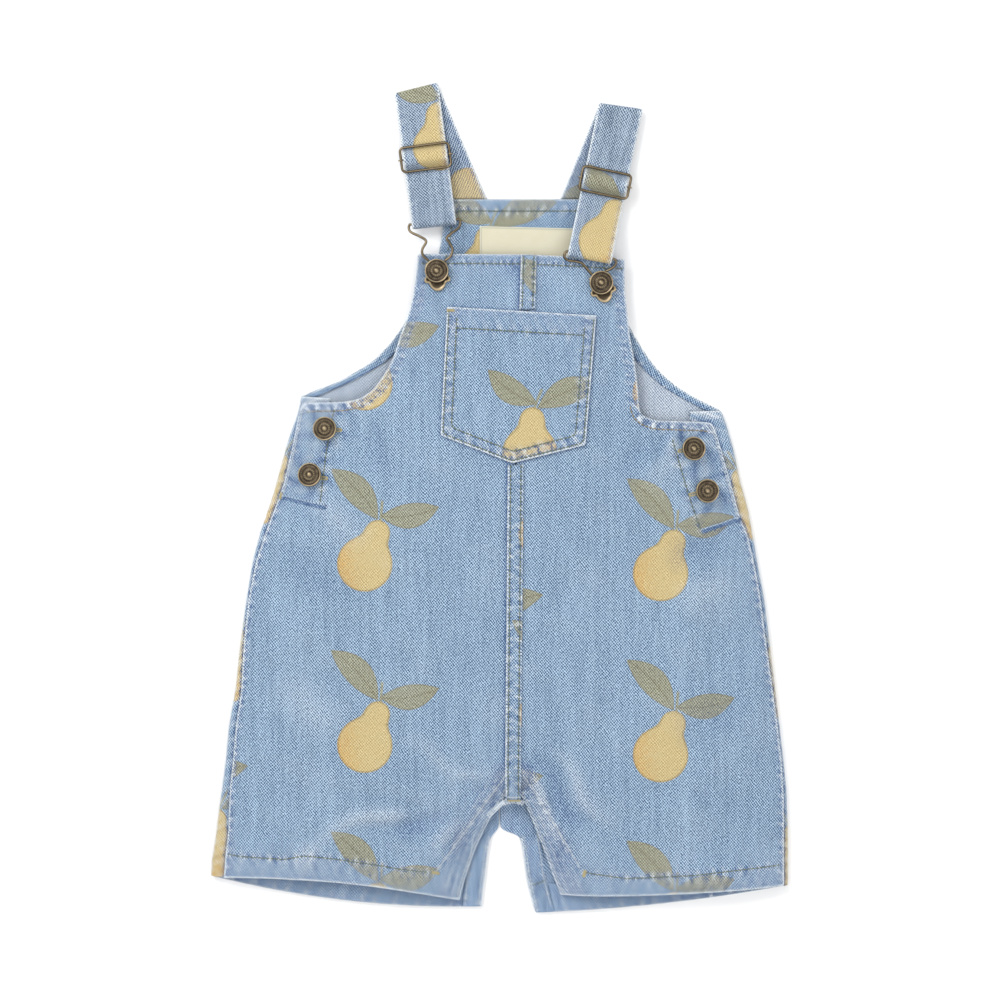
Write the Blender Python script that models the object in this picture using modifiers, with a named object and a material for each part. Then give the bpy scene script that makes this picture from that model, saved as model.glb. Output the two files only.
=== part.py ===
"""Short denim dungarees for a small child, laid flat with the front up.

The origin is on the floor under the middle of the garment. +Y points to the shoulder
straps, +X to the viewer's right and +Z up. The tables and functions below work in
millimetres, and a mesh is scaled to metres when it is made.
"""

import math
from collections import namedtuple

import bmesh
import bpy
from mathutils import Vector
from mathutils.bvhtree import BVHTree

MM = 0.001

# Cloth
DENIM = 1.3
TURNING = 1.0
GAP = 0.3
FOLD_RADIUS = 2.5
SIDE_RISE = 45.0
INSEAM_RISE = 30.0
SEAM_HALF_GAP = 0.25
SEAM_WIDTH = 10.0
PLACKET_WIDTH = 12.5
ARMHOLE_FACING = 9.0

# Straps and metal
STRAP_WIDTH = 28.0
STRAP_THICKNESS = 2.0
WIRE_RADIUS = 0.8
SLIDER_HALF_WIDTH = 15.5
SLIDER_HALF_HEIGHT = 7.7
SLIDER_Z = 8.6
BAR_REST = 1.2
PLATE_Z = 10.7
PLATE_THICKNESS = 1.0
BUTTON_RADIUS = 7.5
BUTTON_STEPS = 20

# A section of a front half runs from the centre seam or inseam out to the side.
# crown_z is the height between its two edges, and bow bends it along the body.
FrontRow = namedtuple("FrontRow", "inner_x inner_y outer_x outer_y inner_z crown_z outer_z bow")

FRONT_LEFT = [FrontRow(*row) for row in (
    (18.5, 154.0, -51.5, 154.5, 10.6, 10.6, 8.5, 0.0),
    (18.3, 148.0, -52.0, 148.0, 10.6, 10.6, 8.5, 0.0),
    (18.0, 135.0, -53.5, 135.0, 10.6, 10.6, 8.5, 0.0),
    (17.5, 119.0, -56.5, 119.0, 10.8, 10.8, 8.5, 0.0),
    (15.8, 103.5, -62.5, 103.5, 11.2, 11.2, 8.5, 0.0),
    (14.1, 87.5, -67.5, 87.5, 11.5, 11.5, 8.5, 0.0),
    (13.1, 79.0, -73.0, 78.0, 11.7, 11.7, 8.5, 0.0),
    (12.3, 71.0, -79.0, 69.5, 11.9, 11.9, 8.5, 0.0),
    (11.4, 63.5, -88.0, 63.0, 12.0, 12.0, 8.3, 0.0),
    (10.5, 53.5, -100.0, 61.0, 12.2, 12.2, 8.0, 0.0),
    (10.4, 42.0, -114.5, 61.0, 12.4, 12.4, 7.2, 0.0),
    (10.3, 31.0, -125.0, 60.5, 12.6, 12.6, 6.6, 0.0),
    (10.2, 21.0, -127.0, 52.5, 12.8, 12.8, 6.6, 0.0),
    (10.1, 9.5, -131.0, 32.0, 13.0, 13.0, 6.6, 0.0),
    (10.0, -4.0, -136.0, 10.5, 13.0, 13.0, 6.6, 0.0),
    (9.9, -14.5, -139.0, 1.5, 13.0, 13.0, 6.6, 0.0),
    (9.8, -29.0, -146.0, -16.5, 13.0, 13.0, 6.6, 0.0),
    (9.6, -48.0, -153.5, -38.5, 13.0, 13.0, 6.6, 0.0),
    (9.5, -67.0, -158.5, -63.5, 13.0, 13.0, 6.6, 0.0),
    (9.2, -92.0, -161.5, -92.0, 13.0, 13.0, 6.6, 0.0),
    (9.0, -120.5, -163.0, -120.5, 12.8, 12.8, 6.6, 0.0),
    (8.8, -142.5, -166.5, -143.5, 12.3, 12.6, 6.6, 0.0),
    (8.6, -164.5, -168.5, -167.5, 10.4, 12.4, 6.6, 0.0),
    (7.5, -180.0, -170.0, -180.0, 7.6, 12.2, 6.6, 0.0),
    (2.5, -190.5, -170.5, -189.5, 5.6, 12.0, 6.6, 0.0),
    (-4.0, -199.0, -171.0, -199.0, 4.6, 11.8, 6.6, 0.0),
    (-10.0, -210.5, -171.0, -208.5, 4.2, 11.7, 6.6, 1.0),
    (-15.5, -222.5, -172.0, -216.5, 4.2, 11.6, 6.6, 2.0),
    (-20.5, -237.0, -173.0, -224.5, 4.2, 11.5, 6.6, 3.5),
    (-23.0, -245.5, -173.5, -232.0, 4.2, 11.5, 6.6, 4.5),
    (-25.0, -253.5, -174.0, -239.0, 4.2, 11.5, 6.6, 4.5),
)]

FRONT_RIGHT = [FrontRow(*row) for row in (
    (18.5, 154.0, 79.0, 151.0, 10.6, 10.6, 8.5, 0.0),
    (18.3, 148.0, 79.0, 144.5, 10.6, 10.6, 8.5, 0.0),
    (18.0, 135.0, 79.0, 131.5, 10.6, 10.6, 8.5, 0.0),
    (17.5, 119.0, 80.5, 119.0, 10.8, 10.8, 8.5, 0.0),
    (15.8, 103.5, 82.0, 103.5, 11.2, 11.2, 8.5, 0.0),
    (14.1, 87.5, 85.0, 87.5, 11.5, 11.5, 8.5, 0.0),
    (13.1, 79.0, 86.5, 76.0, 11.7, 11.7, 8.5, 0.0),
    (12.3, 71.0, 87.5, 67.5, 11.9, 11.9, 8.5, 0.0),
    (11.4, 63.5, 87.5, 60.5, 12.0, 12.0, 8.5, 0.0),
    (10.6, 55.0, 89.0, 53.0, 12.2, 12.2, 8.5, 0.0),
    (10.4, 43.5, 98.0, 49.5, 12.4, 12.4, 8.3, 0.0),
    (10.3, 32.0, 117.0, 49.0, 12.6, 12.6, 7.2, 0.0),
    (10.2, 21.0, 134.0, 48.5, 12.8, 12.8, 6.6, 0.0),
    (10.1, 10.5, 136.5, 43.0, 13.0, 13.0, 6.6, 0.0),
    (10.0, 0.5, 141.5, 26.0, 13.0, 13.0, 6.6, 0.0),
    (9.9, -9.5, 147.0, 6.5, 13.0, 13.0, 6.6, 0.0),
    (9.9, -21.0, 152.0, -12.5, 13.0, 13.0, 6.6, 0.0),
    (9.8, -31.0, 156.5, -22.0, 13.0, 13.0, 6.6, 0.0),
    (9.6, -48.0, 160.5, -38.5, 13.0, 13.0, 6.6, 0.0),
    (9.5, -67.0, 164.5, -61.0, 13.0, 13.0, 6.6, 0.0),
    (9.2, -92.0, 168.5, -92.0, 13.0, 13.0, 6.6, 0.0),
    (9.0, -120.5, 172.5, -120.5, 12.8, 12.8, 6.6, 0.0),
    (8.8, -142.5, 175.5, -142.5, 12.3, 12.6, 6.6, 0.0),
    (8.6, -164.5, 178.0, -164.5, 10.4, 12.4, 6.6, 0.0),
    (9.0, -180.0, 179.0, -180.0, 7.6, 12.2, 6.6, 0.0),
    (15.0, -190.5, 179.5, -190.5, 5.6, 12.0, 6.6, 0.0),
    (19.5, -201.0, 179.5, -201.0, 4.6, 11.8, 6.6, 0.0),
    (23.5, -211.0, 179.5, -210.0, 4.2, 11.7, 6.6, 0.0),
    (28.0, -222.5, 179.5, -218.0, 4.2, 11.6, 6.6, 0.0),
    (33.5, -238.0, 179.5, -230.0, 4.2, 11.5, 6.6, -1.0),
    (36.0, -244.5, 179.5, -237.0, 4.2, 11.5, 6.6, -2.0),
    (38.5, -250.0, 179.5, -244.0, 4.2, 11.5, 6.6, -2.0),
)]

# A section of a back half runs along the floor from the centre seam or inseam to the
# outline, and wrap is how far it comes back inwards on top, over the fold.
BackRow = namedtuple("BackRow", "inner_x inner_y outer_x outer_y wrap bow")

BACK_LEFT = [BackRow(*row) for row in (
    (0.0, 189.5, -35.0, 189.5, 0.0, 0.0),
    (0.0, 181.0, -35.5, 181.0, 0.0, 0.0),
    (0.0, 169.5, -36.0, 169.5, 0.0, 0.0),
    (0.0, 154.5, -38.5, 154.5, 0.0, 0.0),
    (0.0, 138.0, -45.5, 138.0, 0.0, 0.0),
    (0.0, 123.0, -54.0, 123.0, 0.0, 0.0),
    (0.0, 109.0, -61.0, 109.5, 0.0, 0.0),
    (0.0, 99.0, -69.0, 98.5, 0.0, 0.0),
    (0.0, 90.0, -79.5, 87.5, 0.0, 0.0),
    (0.0, 80.0, -100.0, 75.0, 0.0, 0.0),
    (0.0, 66.0, -114.5, 69.5, 0.0, 0.0),
    (0.0, 55.0, -125.5, 65.0, 19.0, 0.0),
    (0.0, 39.5, -127.0, 55.5, 20.0, 0.0),
    (0.0, 24.5, -133.0, 39.0, 21.0, 0.0),
    (0.0, 10.5, -138.5, 20.0, 21.0, 0.0),
    (0.0, -4.0, -143.5, 1.5, 20.0, 0.0),
    (0.0, -19.5, -150.5, -18.5, 11.0, 0.0),
    (0.0, -39.5, -156.0, -38.5, 8.0, 0.0),
    (0.0, -63.5, -160.0, -63.5, 7.5, 0.0),
    (0.0, -92.0, -164.0, -92.0, 8.5, 0.0),
    (0.0, -120.5, -167.0, -120.5, 10.0, 0.0),
    (0.0, -142.5, -171.0, -142.5, 10.5, 0.0),
    (0.0, -164.5, -173.0, -164.5, 11.0, 0.0),
    (0.0, -183.5, -175.5, -183.5, 12.0, 0.0),
    (0.0, -199.0, -178.0, -200.5, 13.0, 0.0),
    (0.0, -209.0, -179.0, -210.5, 14.0, 0.0),
    (-5.5, -213.0, -180.0, -216.5, 14.5, -1.0),
    (-7.5, -225.0, -181.0, -223.0, 14.5, -3.0),
    (-9.0, -239.0, -182.0, -228.5, 14.5, -5.0),
    (-10.5, -248.0, -182.0, -233.5, 14.5, -6.0),
    (-11.0, -257.5, -182.5, -238.0, 14.5, -6.0),
)]

BACK_RIGHT = [BackRow(*row) for row in (
    (0.0, 189.5, 67.0, 189.5, 0.0, 0.0),
    (0.0, 181.0, 67.5, 181.0, 0.0, 0.0),
    (0.0, 169.5, 68.5, 169.5, 0.0, 0.0),
    (0.0, 154.5, 70.0, 154.5, 0.0, 0.0),
    (0.0, 138.0, 73.0, 138.0, 0.0, 0.0),
    (0.0, 123.0, 77.0, 123.0, 0.0, 0.0),
    (0.0, 110.0, 82.0, 109.0, 0.0, 0.0),
    (0.0, 101.5, 87.5, 99.5, 0.0, 0.0),
    (0.0, 92.5, 93.5, 90.0, 0.0, 0.0),
    (0.0, 84.0, 101.0, 80.5, 0.0, 0.0),
    (0.0, 73.5, 112.0, 71.0, 0.0, 0.0),
    (0.0, 62.5, 126.5, 62.5, 0.0, 0.0),
    (0.0, 50.0, 140.0, 56.0, 20.0, 0.0),
    (0.0, 37.0, 143.0, 48.5, 23.0, 0.0),
    (0.0, 24.5, 147.5, 33.0, 22.0, 0.0),
    (0.0, 10.5, 152.0, 12.0, 21.0, 0.0),
    (0.0, -4.0, 157.0, -5.5, 20.0, 0.0),
    (0.0, -21.0, 160.0, -22.0, 10.0, 0.0),
    (0.0, -39.5, 163.0, -39.5, 7.5, 0.0),
    (0.0, -63.5, 167.5, -63.5, 7.5, 0.0),
    (0.0, -92.0, 171.0, -92.0, 7.5, 0.0),
    (0.0, -120.5, 174.5, -120.5, 7.0, 0.0),
    (0.0, -142.5, 177.0, -142.5, 7.0, 0.0),
    (0.0, -164.5, 179.5, -164.5, 7.0, 0.0),
    (0.0, -183.5, 181.5, -183.5, 7.5, 0.0),
    (0.0, -199.0, 182.0, -199.0, 8.0, 0.0),
    (0.0, -209.0, 182.5, -210.5, 8.5, 0.0),
    (13.0, -213.0, 182.5, -216.5, 8.5, 0.0),
    (15.0, -225.0, 182.5, -224.5, 8.5, -1.0),
    (17.5, -243.0, 182.5, -232.5, 8.5, -2.0),
    (20.0, -252.5, 182.5, -238.0, 8.5, -3.0),
    (22.5, -261.5, 182.5, -244.0, 8.5, -3.0),
)]

# The largest creases of the front: a soft ridge, or a trough where rise is negative,
# along the line between two points.
Crease = namedtuple("Crease", "start_x start_y end_x end_y half_width rise")

CREASES = [Crease(*row) for row in (
    (-20.5, -180.0, -125.5, -222.5, 8.0, 1.6),
    (-29.5, -186.5, -60.0, -210.0, 9.0, -1.8),
    (-25.5, -196.5, -42.0, -227.5, 7.0, 1.4),
    (18.5, -160.0, 54.5, -207.5, 8.0, -2.0),
    (32.0, -160.0, 70.0, -205.0, 9.0, 1.3),
    (14.0, -168.0, 42.0, -218.0, 7.0, 1.2),
    (-123.0, -214.0, -122.0, -238.0, 7.0, 1.4),
    (-122.0, -2.0, -78.0, -26.0, 9.0, 1.0),
    (-142.0, -30.0, -96.0, -62.0, 11.0, -1.0),
    (148.0, -20.0, 104.0, -44.0, 9.0, -1.1),
    (150.0, -42.0, 112.0, -74.0, 11.0, 1.0),
    (96.0, 42.0, 74.0, 6.0, 8.0, -1.2),
    (112.0, 40.0, 96.0, 2.0, 8.0, 1.0),
    (-88.0, 52.0, -66.0, 12.0, 9.0, -1.0),
    (-146.0, -118.0, -92.0, -142.0, 13.0, 0.9),
    (160.0, -128.0, 108.0, -150.0, 13.0, -0.9),
)]

# Shares of a front section's width where its points are, outside the seam allowance
FRONT_SHARES = (0.0, 0.06, 0.13, 0.21, 0.30, 0.39, 0.48, 0.57, 0.66, 0.74, 0.81, 0.875, 0.93, 0.97, 1.0)
BACK_SHARES = (0.0, 0.2, 0.4, 0.6, 0.8, 1.0)

# The rows of the back that its facings reach to
NECK_FACING_ROWS = 5
ARMHOLE_FACING_FIRST = 5
LEFT_WRAP_FIRST = 11
RIGHT_WRAP_FIRST = 12

# The centre front seam, from the bib to the crotch
SeamPoint = namedtuple("SeamPoint", "x y")
SEAM_UPPER = (SeamPoint(18.4, 153.4), SeamPoint(17.5, 118.9))
SEAM_LOWER = (SeamPoint(10.2, 21.5), SeamPoint(9.0, -120.5), SeamPoint(8.6, -164.5), SeamPoint(8.6, -190.0))
SEAM_STEP = 11.0

# The bib pocket, seen from the front
POCKET_TOP_LEFT = (-33.0, 121.0)
POCKET_TOP_RIGHT = (61.0, 115.5)
POCKET_LOW_RIGHT = (54.0, 34.0)
POCKET_POINT = (8.0, 22.5)
POCKET_LOW_LEFT = (-37.0, 40.0)
POCKET_COLUMNS = 8
POCKET_ROWS = 8

# The woven label inside the neck
LABEL_CORNERS = ((-12.5, 172.5), (48.0, 171.0), (48.0, 148.0), (-12.5, 149.5))
LABEL_THICKNESS = 0.6

# Each strap: where it folds at the shoulder, where it is sewn to the back and where it
# turns round the clip, as its left and right edges, how far down its slider sits, and the
# height of its end and how long it takes to rise there. The right one ends on top of the bib.
Strap = namedtuple("Strap", "fold_left fold_right back_left back_right end_left end_right "
                            "slider_distance end_z end_rise")

STRAPS = {
    "left": Strap((-66.5, 256.5), (-38.5, 263.5), (-35.5, 189.9), (-8.0, 189.9),
                  (-54.5, 170.0), (-27.5, 173.0), 45.0, 9.2, 12.0),
    "right": Strap((62.5, 250.5), (91.0, 246.5), (38.5, 189.9), (66.5, 189.9),
                   (42.5, 152.5), (70.1, 147.6), 50.0, 16.2, 30.0),
}

# Heights of the middle of a strap's thickness along its way
STRAP_BACK_Z = 1.0
STRAP_SHOULDER_Z = 4.4
STRAP_UNDER_BAR_Z = 6.3
STRAP_OVER_BAR_Z = 10.9
STRAP_FRONT_Z = 7.3

# How far the doubled end of a strap lies under its front run, there and at the turn
RETURN_DROP = 2.4
TURN_DROP = 4.3
TURN_OPENING = 12.0

# The wire of each clip, from one end at the plate round through the strap to the other
CLIP_WIRES = {
    "left": ((-44.5, 149.9, 11.4), (-48.0, 153.0, 11.8), (-48.6, 157.0, 11.6), (-46.2, 162.2, 10.8),
             (-50.0, 165.3, 9.8), (-55.5, 168.0, 8.2), (-57.2, 170.5, 7.2), (-56.8, 173.1, 7.05),
             (-25.0, 176.6, 7.05), (-24.7, 173.8, 7.2), (-26.0, 170.8, 8.2), (-29.8, 167.6, 9.8),
             (-33.3, 164.2, 10.8), (-31.0, 160.5, 11.2), (-29.6, 157.0, 11.7), (-30.8, 152.8, 12.0),
             (-34.5, 149.9, 11.6)),
    "right": ((58.2, 141.2, 11.6), (55.8, 144.0, 12.0), (53.6, 146.6, 12.3), (51.3, 148.5, 12.7),
              (47.8, 149.4, 13.3), (43.4, 149.9, 13.8), (40.9, 152.0, 14.05), (41.3, 154.9, 14.05),
              (43.6, 155.85, 14.05), (70.7, 151.0, 14.05), (72.9, 150.2, 13.9), (73.1, 148.2, 13.3),
              (71.9, 146.2, 12.6), (69.4, 144.4, 12.0), (67.0, 143.4, 11.4)),
}

# The top bars of the clips are straight: the wire's runs that take no extra points
CLIP_STRAIGHT_RUN = {"left": 7, "right": 8}

ButtonPlace = namedtuple("ButtonPlace", "x y")
BIB_BUTTONS = {"left": ButtonPlace(-39.5, 143.5), "right": ButtonPlace(64.0, 136.0)}
PLATE_TURN = {"left": math.radians(4.0), "right": math.radians(14.5)}
SIDE_BUTTONS = {
    "left_upper": ButtonPlace(-109.5, 44.0),
    "left_lower": ButtonPlace(-119.0, 15.0),
    "right_upper": ButtonPlace(121.5, 31.5),
    "right_lower": ButtonPlace(130.0, 5.0),
}

# One side of the clip's plate, from the top corner down to the tip of its lobe
PLATE_SIDE = ((5.6, 5.3), (6.6, 2.0), (6.4, -2.0), (8.2, -5.0), (7.6, -7.0), (5.4, -7.6),
              (4.2, -10.2), (2.0, -12.2))
PLATE_HOLE_RADIUS = 3.3

# The turned outline of a button above its shank, from the middle of its face outwards
BUTTON_FACE = ((0.0, 3.3), (2.4, 3.2), (3.0, 2.6), (4.8, 2.4), (5.4, 2.9), (6.9, 2.8), (7.5, 1.9),
               (7.5, 0.9), (6.6, 0.0))
SHANK_RADIUS = 2.5


def clear_scene():
    """Take out whatever the scene opens with."""
    for existing in list(bpy.data.objects):
        bpy.data.objects.remove(existing, do_unlink=True)


def make_material(name, colour, roughness, metallic):
    """A plain Principled material."""
    material = bpy.data.materials.new(name)
    material.use_nodes = True
    shader = material.node_tree.nodes["Principled BSDF"]
    shader.inputs["Base Color"].default_value = (*colour, 1.0)
    shader.inputs["Roughness"].default_value = roughness
    shader.inputs["Metallic"].default_value = metallic
    return material


def add_object(name, data, material):
    """Put a mesh or a curve in the garment's collection."""
    piece = bpy.data.objects.new(name, data)
    data.materials.append(material)
    GARMENT.objects.link(piece)
    return piece


def sheet_object(name, rows, thickness, material):
    """A wall over a grid of points, some of which may be missing, thickened below it."""
    mesh = bpy.data.meshes.new(name)
    surface = bmesh.new()
    grid = [[None if point is None else surface.verts.new(Vector(point) * MM) for point in row]
            for row in rows]
    for upper, lower in zip(grid, grid[1:]):
        for column in range(len(upper) - 1):
            corners = (upper[column], lower[column], lower[column + 1], upper[column + 1])
            if all(corners):
                surface.faces.new(corners)
    loose = [vertex for vertex in surface.verts if not vertex.link_faces]
    bmesh.ops.delete(surface, geom=loose, context="VERTS")
    surface.to_mesh(mesh)
    surface.free()
    mesh.shade_smooth()
    piece = add_object(name, mesh, material)
    wall = piece.modifiers.new("wall", "SOLIDIFY")
    wall.thickness = thickness * MM
    wall.offset = -1.0
    return piece


def ease(share):
    """Rise steeply from 0 and level out at 1."""
    return math.sin(0.5 * math.pi * min(max(share, 0.0), 1.0))


def smooth_step(share):
    """Go from 0 to 1 with level ends."""
    return share * share * (3.0 - 2.0 * share)


def mix(start, end, share):
    """The point a share of the way from start to end."""
    return Vector(start).lerp(Vector(end), share)


def crease_height(x, y):
    """How far the creases lift or sink the front at a point."""
    height = 0.0
    for crease in CREASES:
        along = Vector((crease.end_x - crease.start_x, crease.end_y - crease.start_y))
        offset = Vector((x - crease.start_x, y - crease.start_y))
        share = offset.dot(along) / along.length_squared
        aside = abs(offset.cross(along)) / along.length
        if 0.0 < share < 1.0:
            height += crease.rise * math.sin(math.pi * share) * math.exp(-(aside / crease.half_width) ** 2)
    return height


def section_point(row, inset):
    """The place on the ground plan at a distance from a section's inner end."""
    inner = Vector((row.inner_x, row.inner_y))
    outer = Vector((row.outer_x, row.outer_y))
    share = inset / (outer - inner).length
    place = inner.lerp(outer, share)
    place.y += row.bow * 4.0 * share * (1.0 - share)
    return place


def section_width(row):
    """A section's length on the ground plan."""
    return math.hypot(row.outer_x - row.inner_x, row.outer_y - row.inner_y)


def front_point(row, inset):
    """A point of the front's outer face."""
    place = section_point(row, inset)
    side = (row.crown_z - row.outer_z) * (1.0 - ease((section_width(row) - inset) / SIDE_RISE))
    inner = (row.crown_z - row.inner_z) * (1.0 - ease(inset / INSEAM_RISE))
    edge = min(ease(inset / 12.0), ease((section_width(row) - inset) / 12.0))
    return Vector((place.x, place.y, row.crown_z - side - inner + edge * crease_height(place.x, place.y)))


def front_insets(row):
    """Where a front section's points are: at the seam allowance's edge, then by shares."""
    allowance = 0.5 * SEAM_WIDTH
    rest = section_width(row) - allowance
    return [SEAM_HALF_GAP] + [allowance + share * rest for share in FRONT_SHARES]


def front_grid(rows):
    """All the points of one front half."""
    return [[front_point(row, inset) for inset in front_insets(row)] for row in rows]


def back_section(row):
    """The points of one back section: along the floor, round the fold and back on top."""
    inward = (Vector((row.inner_x, row.inner_y)) - Vector((row.outer_x, row.outer_y))).normalized()
    flat_width = section_width(row) - (FOLD_RADIUS if row.wrap else 0.0)
    insets = [SEAM_HALF_GAP + share * (flat_width - SEAM_HALF_GAP) for share in BACK_SHARES]
    points = [section_point(row, inset).to_3d() for inset in insets]
    turn_steps = 5
    if not row.wrap:
        return points + [None] * (turn_steps + 2)
    centre = points[-1] + Vector((0.0, 0.0, FOLD_RADIUS))
    for step in range(1, turn_steps + 1):
        angle = math.pi * step / turn_steps
        aside = -inward.to_3d() * math.sin(angle) * FOLD_RADIUS
        points.append(centre + aside + Vector((0.0, 0.0, -math.cos(angle) * FOLD_RADIUS)))
    top = points[-1]
    for share in (0.5, 1.0):
        points.append(top + inward.to_3d() * share * (row.wrap - FOLD_RADIUS))
    return points


def facing_up(rows):
    """Turn a grid round where its faces would look down."""
    first, along, across = rows[0][0], rows[1][0], rows[0][1]
    if (along - first).cross(across - first).z < 0.0:
        return [list(reversed(row)) for row in rows]
    return rows


def facing_down(rows):
    """Turn a grid round where its faces would look up."""
    return [list(reversed(row)) for row in facing_up(rows)]


def make_fronts():
    """The two halves of the front, crowned over the back."""
    for name, rows in (("front_left", FRONT_LEFT), ("front_right", FRONT_RIGHT)):
        sheet_object(name, facing_up(front_grid(rows)), DENIM, DENIM_BLUE)


def make_backs():
    """The two halves of the back: flat on the floor and folded up round the sides."""
    for name, rows in (("back_left", BACK_LEFT), ("back_right", BACK_RIGHT)):
        sheet_object(name, facing_down([back_section(row) for row in rows]), DENIM, DENIM_BLUE)


def strip_on_back(name, rows, insets, material):
    """A turning or facing that lies on the inside of the back."""
    height = DENIM + GAP
    grid = []
    for row in rows:
        places = [section_point(row, inset) for inset in insets(row)]
        grid.append([Vector((place.x, place.y, height)) for place in places])
    sheet_object(name, facing_down(grid), TURNING, material)


def make_back_linings():
    """The facings at the neck and the armholes, the leg hems and the inseam plackets."""
    neck = []
    for left, right in zip(BACK_LEFT[:NECK_FACING_ROWS], BACK_RIGHT[:NECK_FACING_ROWS]):
        height = DENIM + GAP
        neck.append([Vector((x, left.outer_y, height)) for x in (left.outer_x, 0.0, right.outer_x)])
    sheet_object("neck_facing", facing_down(neck), TURNING, DENIM_INSIDE)

    halves = (("left", BACK_LEFT, LEFT_WRAP_FIRST), ("right", BACK_RIGHT, RIGHT_WRAP_FIRST))
    for side, rows, wrap_first in halves:
        def armhole_band(row):
            width = section_width(row)
            return (width - ARMHOLE_FACING, width)

        def placket_band(row):
            return (SEAM_HALF_GAP, PLACKET_WIDTH)

        def hem_band(row):
            start = PLACKET_WIDTH + GAP
            end = section_width(row) - FOLD_RADIUS
            return [start + (end - start) * step / 6.0 for step in range(7)]

        strip_on_back("armhole_facing_" + side, rows[ARMHOLE_FACING_FIRST:wrap_first + 1],
                      armhole_band, DENIM_INSIDE)
        strip_on_back("inseam_placket_" + side, rows[-5:], placket_band, DENIM_BLUE)
        strip_on_back("back_hem_" + side, rows[-3:], hem_band, DENIM_INSIDE)


def make_front_hems():
    """The turned up hems inside the front of each leg."""
    depth = DENIM + GAP
    for name, rows in (("front_hem_left", FRONT_LEFT), ("front_hem_right", FRONT_RIGHT)):
        grid = []
        for row in rows[-3:]:
            points = [front_point(row, inset) for inset in front_insets(row)[1:-3]]
            grid.append([point - Vector((0.0, 0.0, depth + 0.1)) for point in points])
        sheet_object(name, facing_up(grid), TURNING, DENIM_INSIDE)


def surface_tree(names):
    """The finished faces of some pieces, to lay other pieces on."""
    depsgraph = bpy.context.evaluated_depsgraph_get()
    vertices = []
    polygons = []
    for name in names:
        mesh = bpy.data.objects[name].evaluated_get(depsgraph).to_mesh()
        start = len(vertices)
        vertices.extend(vertex.co.copy() for vertex in mesh.vertices)
        polygons.extend([start + index for index in polygon.vertices] for polygon in mesh.polygons)
    return BVHTree.FromPolygons(vertices, polygons)


def height_on(tree, x, y, reach=0.0):
    """The highest point of a surface at a place, or within reach of it."""
    places = [(x, y)]
    for step in range(8 if reach else 0):
        angle = math.pi * step / 4.0
        places.append((x + reach * math.cos(angle), y + reach * math.sin(angle)))
        places.append((x + 0.5 * reach * math.cos(angle), y + 0.5 * reach * math.sin(angle)))
    heights = []
    for place_x, place_y in places:
        hit = tree.ray_cast(Vector((place_x * MM, place_y * MM, 0.1)), Vector((0.0, 0.0, -1.0)))[0]
        if hit is not None:
            heights.append(hit.z / MM)
    return max(heights)


def laid_point(tree, place, reach):
    """A point that rests on a surface with the usual gap."""
    return Vector((place[0], place[1], height_on(tree, place[0], place[1], reach) + GAP))


def points_along(corners, step):
    """Places along a broken line, about a step apart, with its corners kept."""
    places = [Vector(corners[0])]
    for start, end in zip(corners, corners[1:]):
        count = max(1, round((Vector(end) - Vector(start)).length / step))
        places.extend(mix(start, end, index / count) for index in range(1, count + 1))
    return places


def make_seam_strips(tree):
    """The felled centre seam, above and below the pocket."""
    for name, corners in (("front_seam_upper", SEAM_UPPER), ("front_seam_lower", SEAM_LOWER)):
        grid = []
        for place in points_along(corners, SEAM_STEP):
            across = [(place.x + share * SEAM_WIDTH, place.y) for share in (-0.5, 0.0, 0.5)]
            grid.append([laid_point(tree, spot, 6.0) for spot in across])
        sheet_object(name, facing_down(grid), TURNING, DENIM_BLUE)


def make_pocket(tree):
    """The patch pocket on the bib, straight at the top and pointed below."""
    grid = []
    for row in range(POCKET_ROWS + 1):
        points = []
        for column in range(POCKET_COLUMNS + 1):
            share = column / POCKET_COLUMNS
            top = mix(POCKET_TOP_LEFT, POCKET_TOP_RIGHT, share)
            if share <= 0.5:
                bottom = mix(POCKET_LOW_LEFT, POCKET_POINT, 2.0 * share)
            else:
                bottom = mix(POCKET_POINT, POCKET_LOW_RIGHT, 2.0 * share - 1.0)
            points.append(laid_point(tree, top.lerp(bottom, row / POCKET_ROWS), 6.0))
        grid.append(points)
    sheet_object("bib_pocket", facing_down(grid), DENIM, DENIM_BLUE)


def make_label():
    """The bare woven label on the neck facing."""
    height = DENIM + GAP + TURNING + GAP
    top_left, top_right, low_right, low_left = (Vector((x, y, height)) for x, y in LABEL_CORNERS)
    sheet_object("label", facing_down([[top_left, top_right], [low_left, low_right]]),
                 LABEL_THICKNESS, LABEL_CREAM)


def strap_frame(strap):
    """The strap's start, length and directions along and across its front run."""
    start = mix(strap.fold_left, strap.fold_right, 0.5)
    end = mix(strap.end_left, strap.end_right, 0.5)
    along = (end - start).normalized()
    return start, (end - start).length, along, Vector((-along.y, along.x))


def strap_height(distance, length, strap):
    """The height of the strap's front run at a distance from the shoulder."""
    slider_distance = strap.slider_distance
    top_bar = slider_distance - SLIDER_HALF_HEIGHT
    low_bar = slider_distance + SLIDER_HALF_HEIGHT
    knots = ((0.0, STRAP_SHOULDER_Z), (top_bar - 8.0, STRAP_SHOULDER_Z + 0.8),
             (top_bar - BAR_REST, STRAP_UNDER_BAR_Z), (top_bar + BAR_REST, STRAP_UNDER_BAR_Z),
             (slider_distance - BAR_REST, STRAP_OVER_BAR_Z), (slider_distance + BAR_REST, STRAP_OVER_BAR_Z),
             (low_bar - BAR_REST, STRAP_UNDER_BAR_Z), (low_bar + BAR_REST, STRAP_UNDER_BAR_Z),
             (low_bar + 7.0, STRAP_FRONT_Z), (length - strap.end_rise, STRAP_FRONT_Z), (length, strap.end_z))
    for (start, start_z), (end, end_z) in zip(knots, knots[1:]):
        if distance <= end:
            share = max(0.0, (distance - start) / (end - start))
            return start_z + (end_z - start_z) * smooth_step(share)
    return strap.end_z


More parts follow.
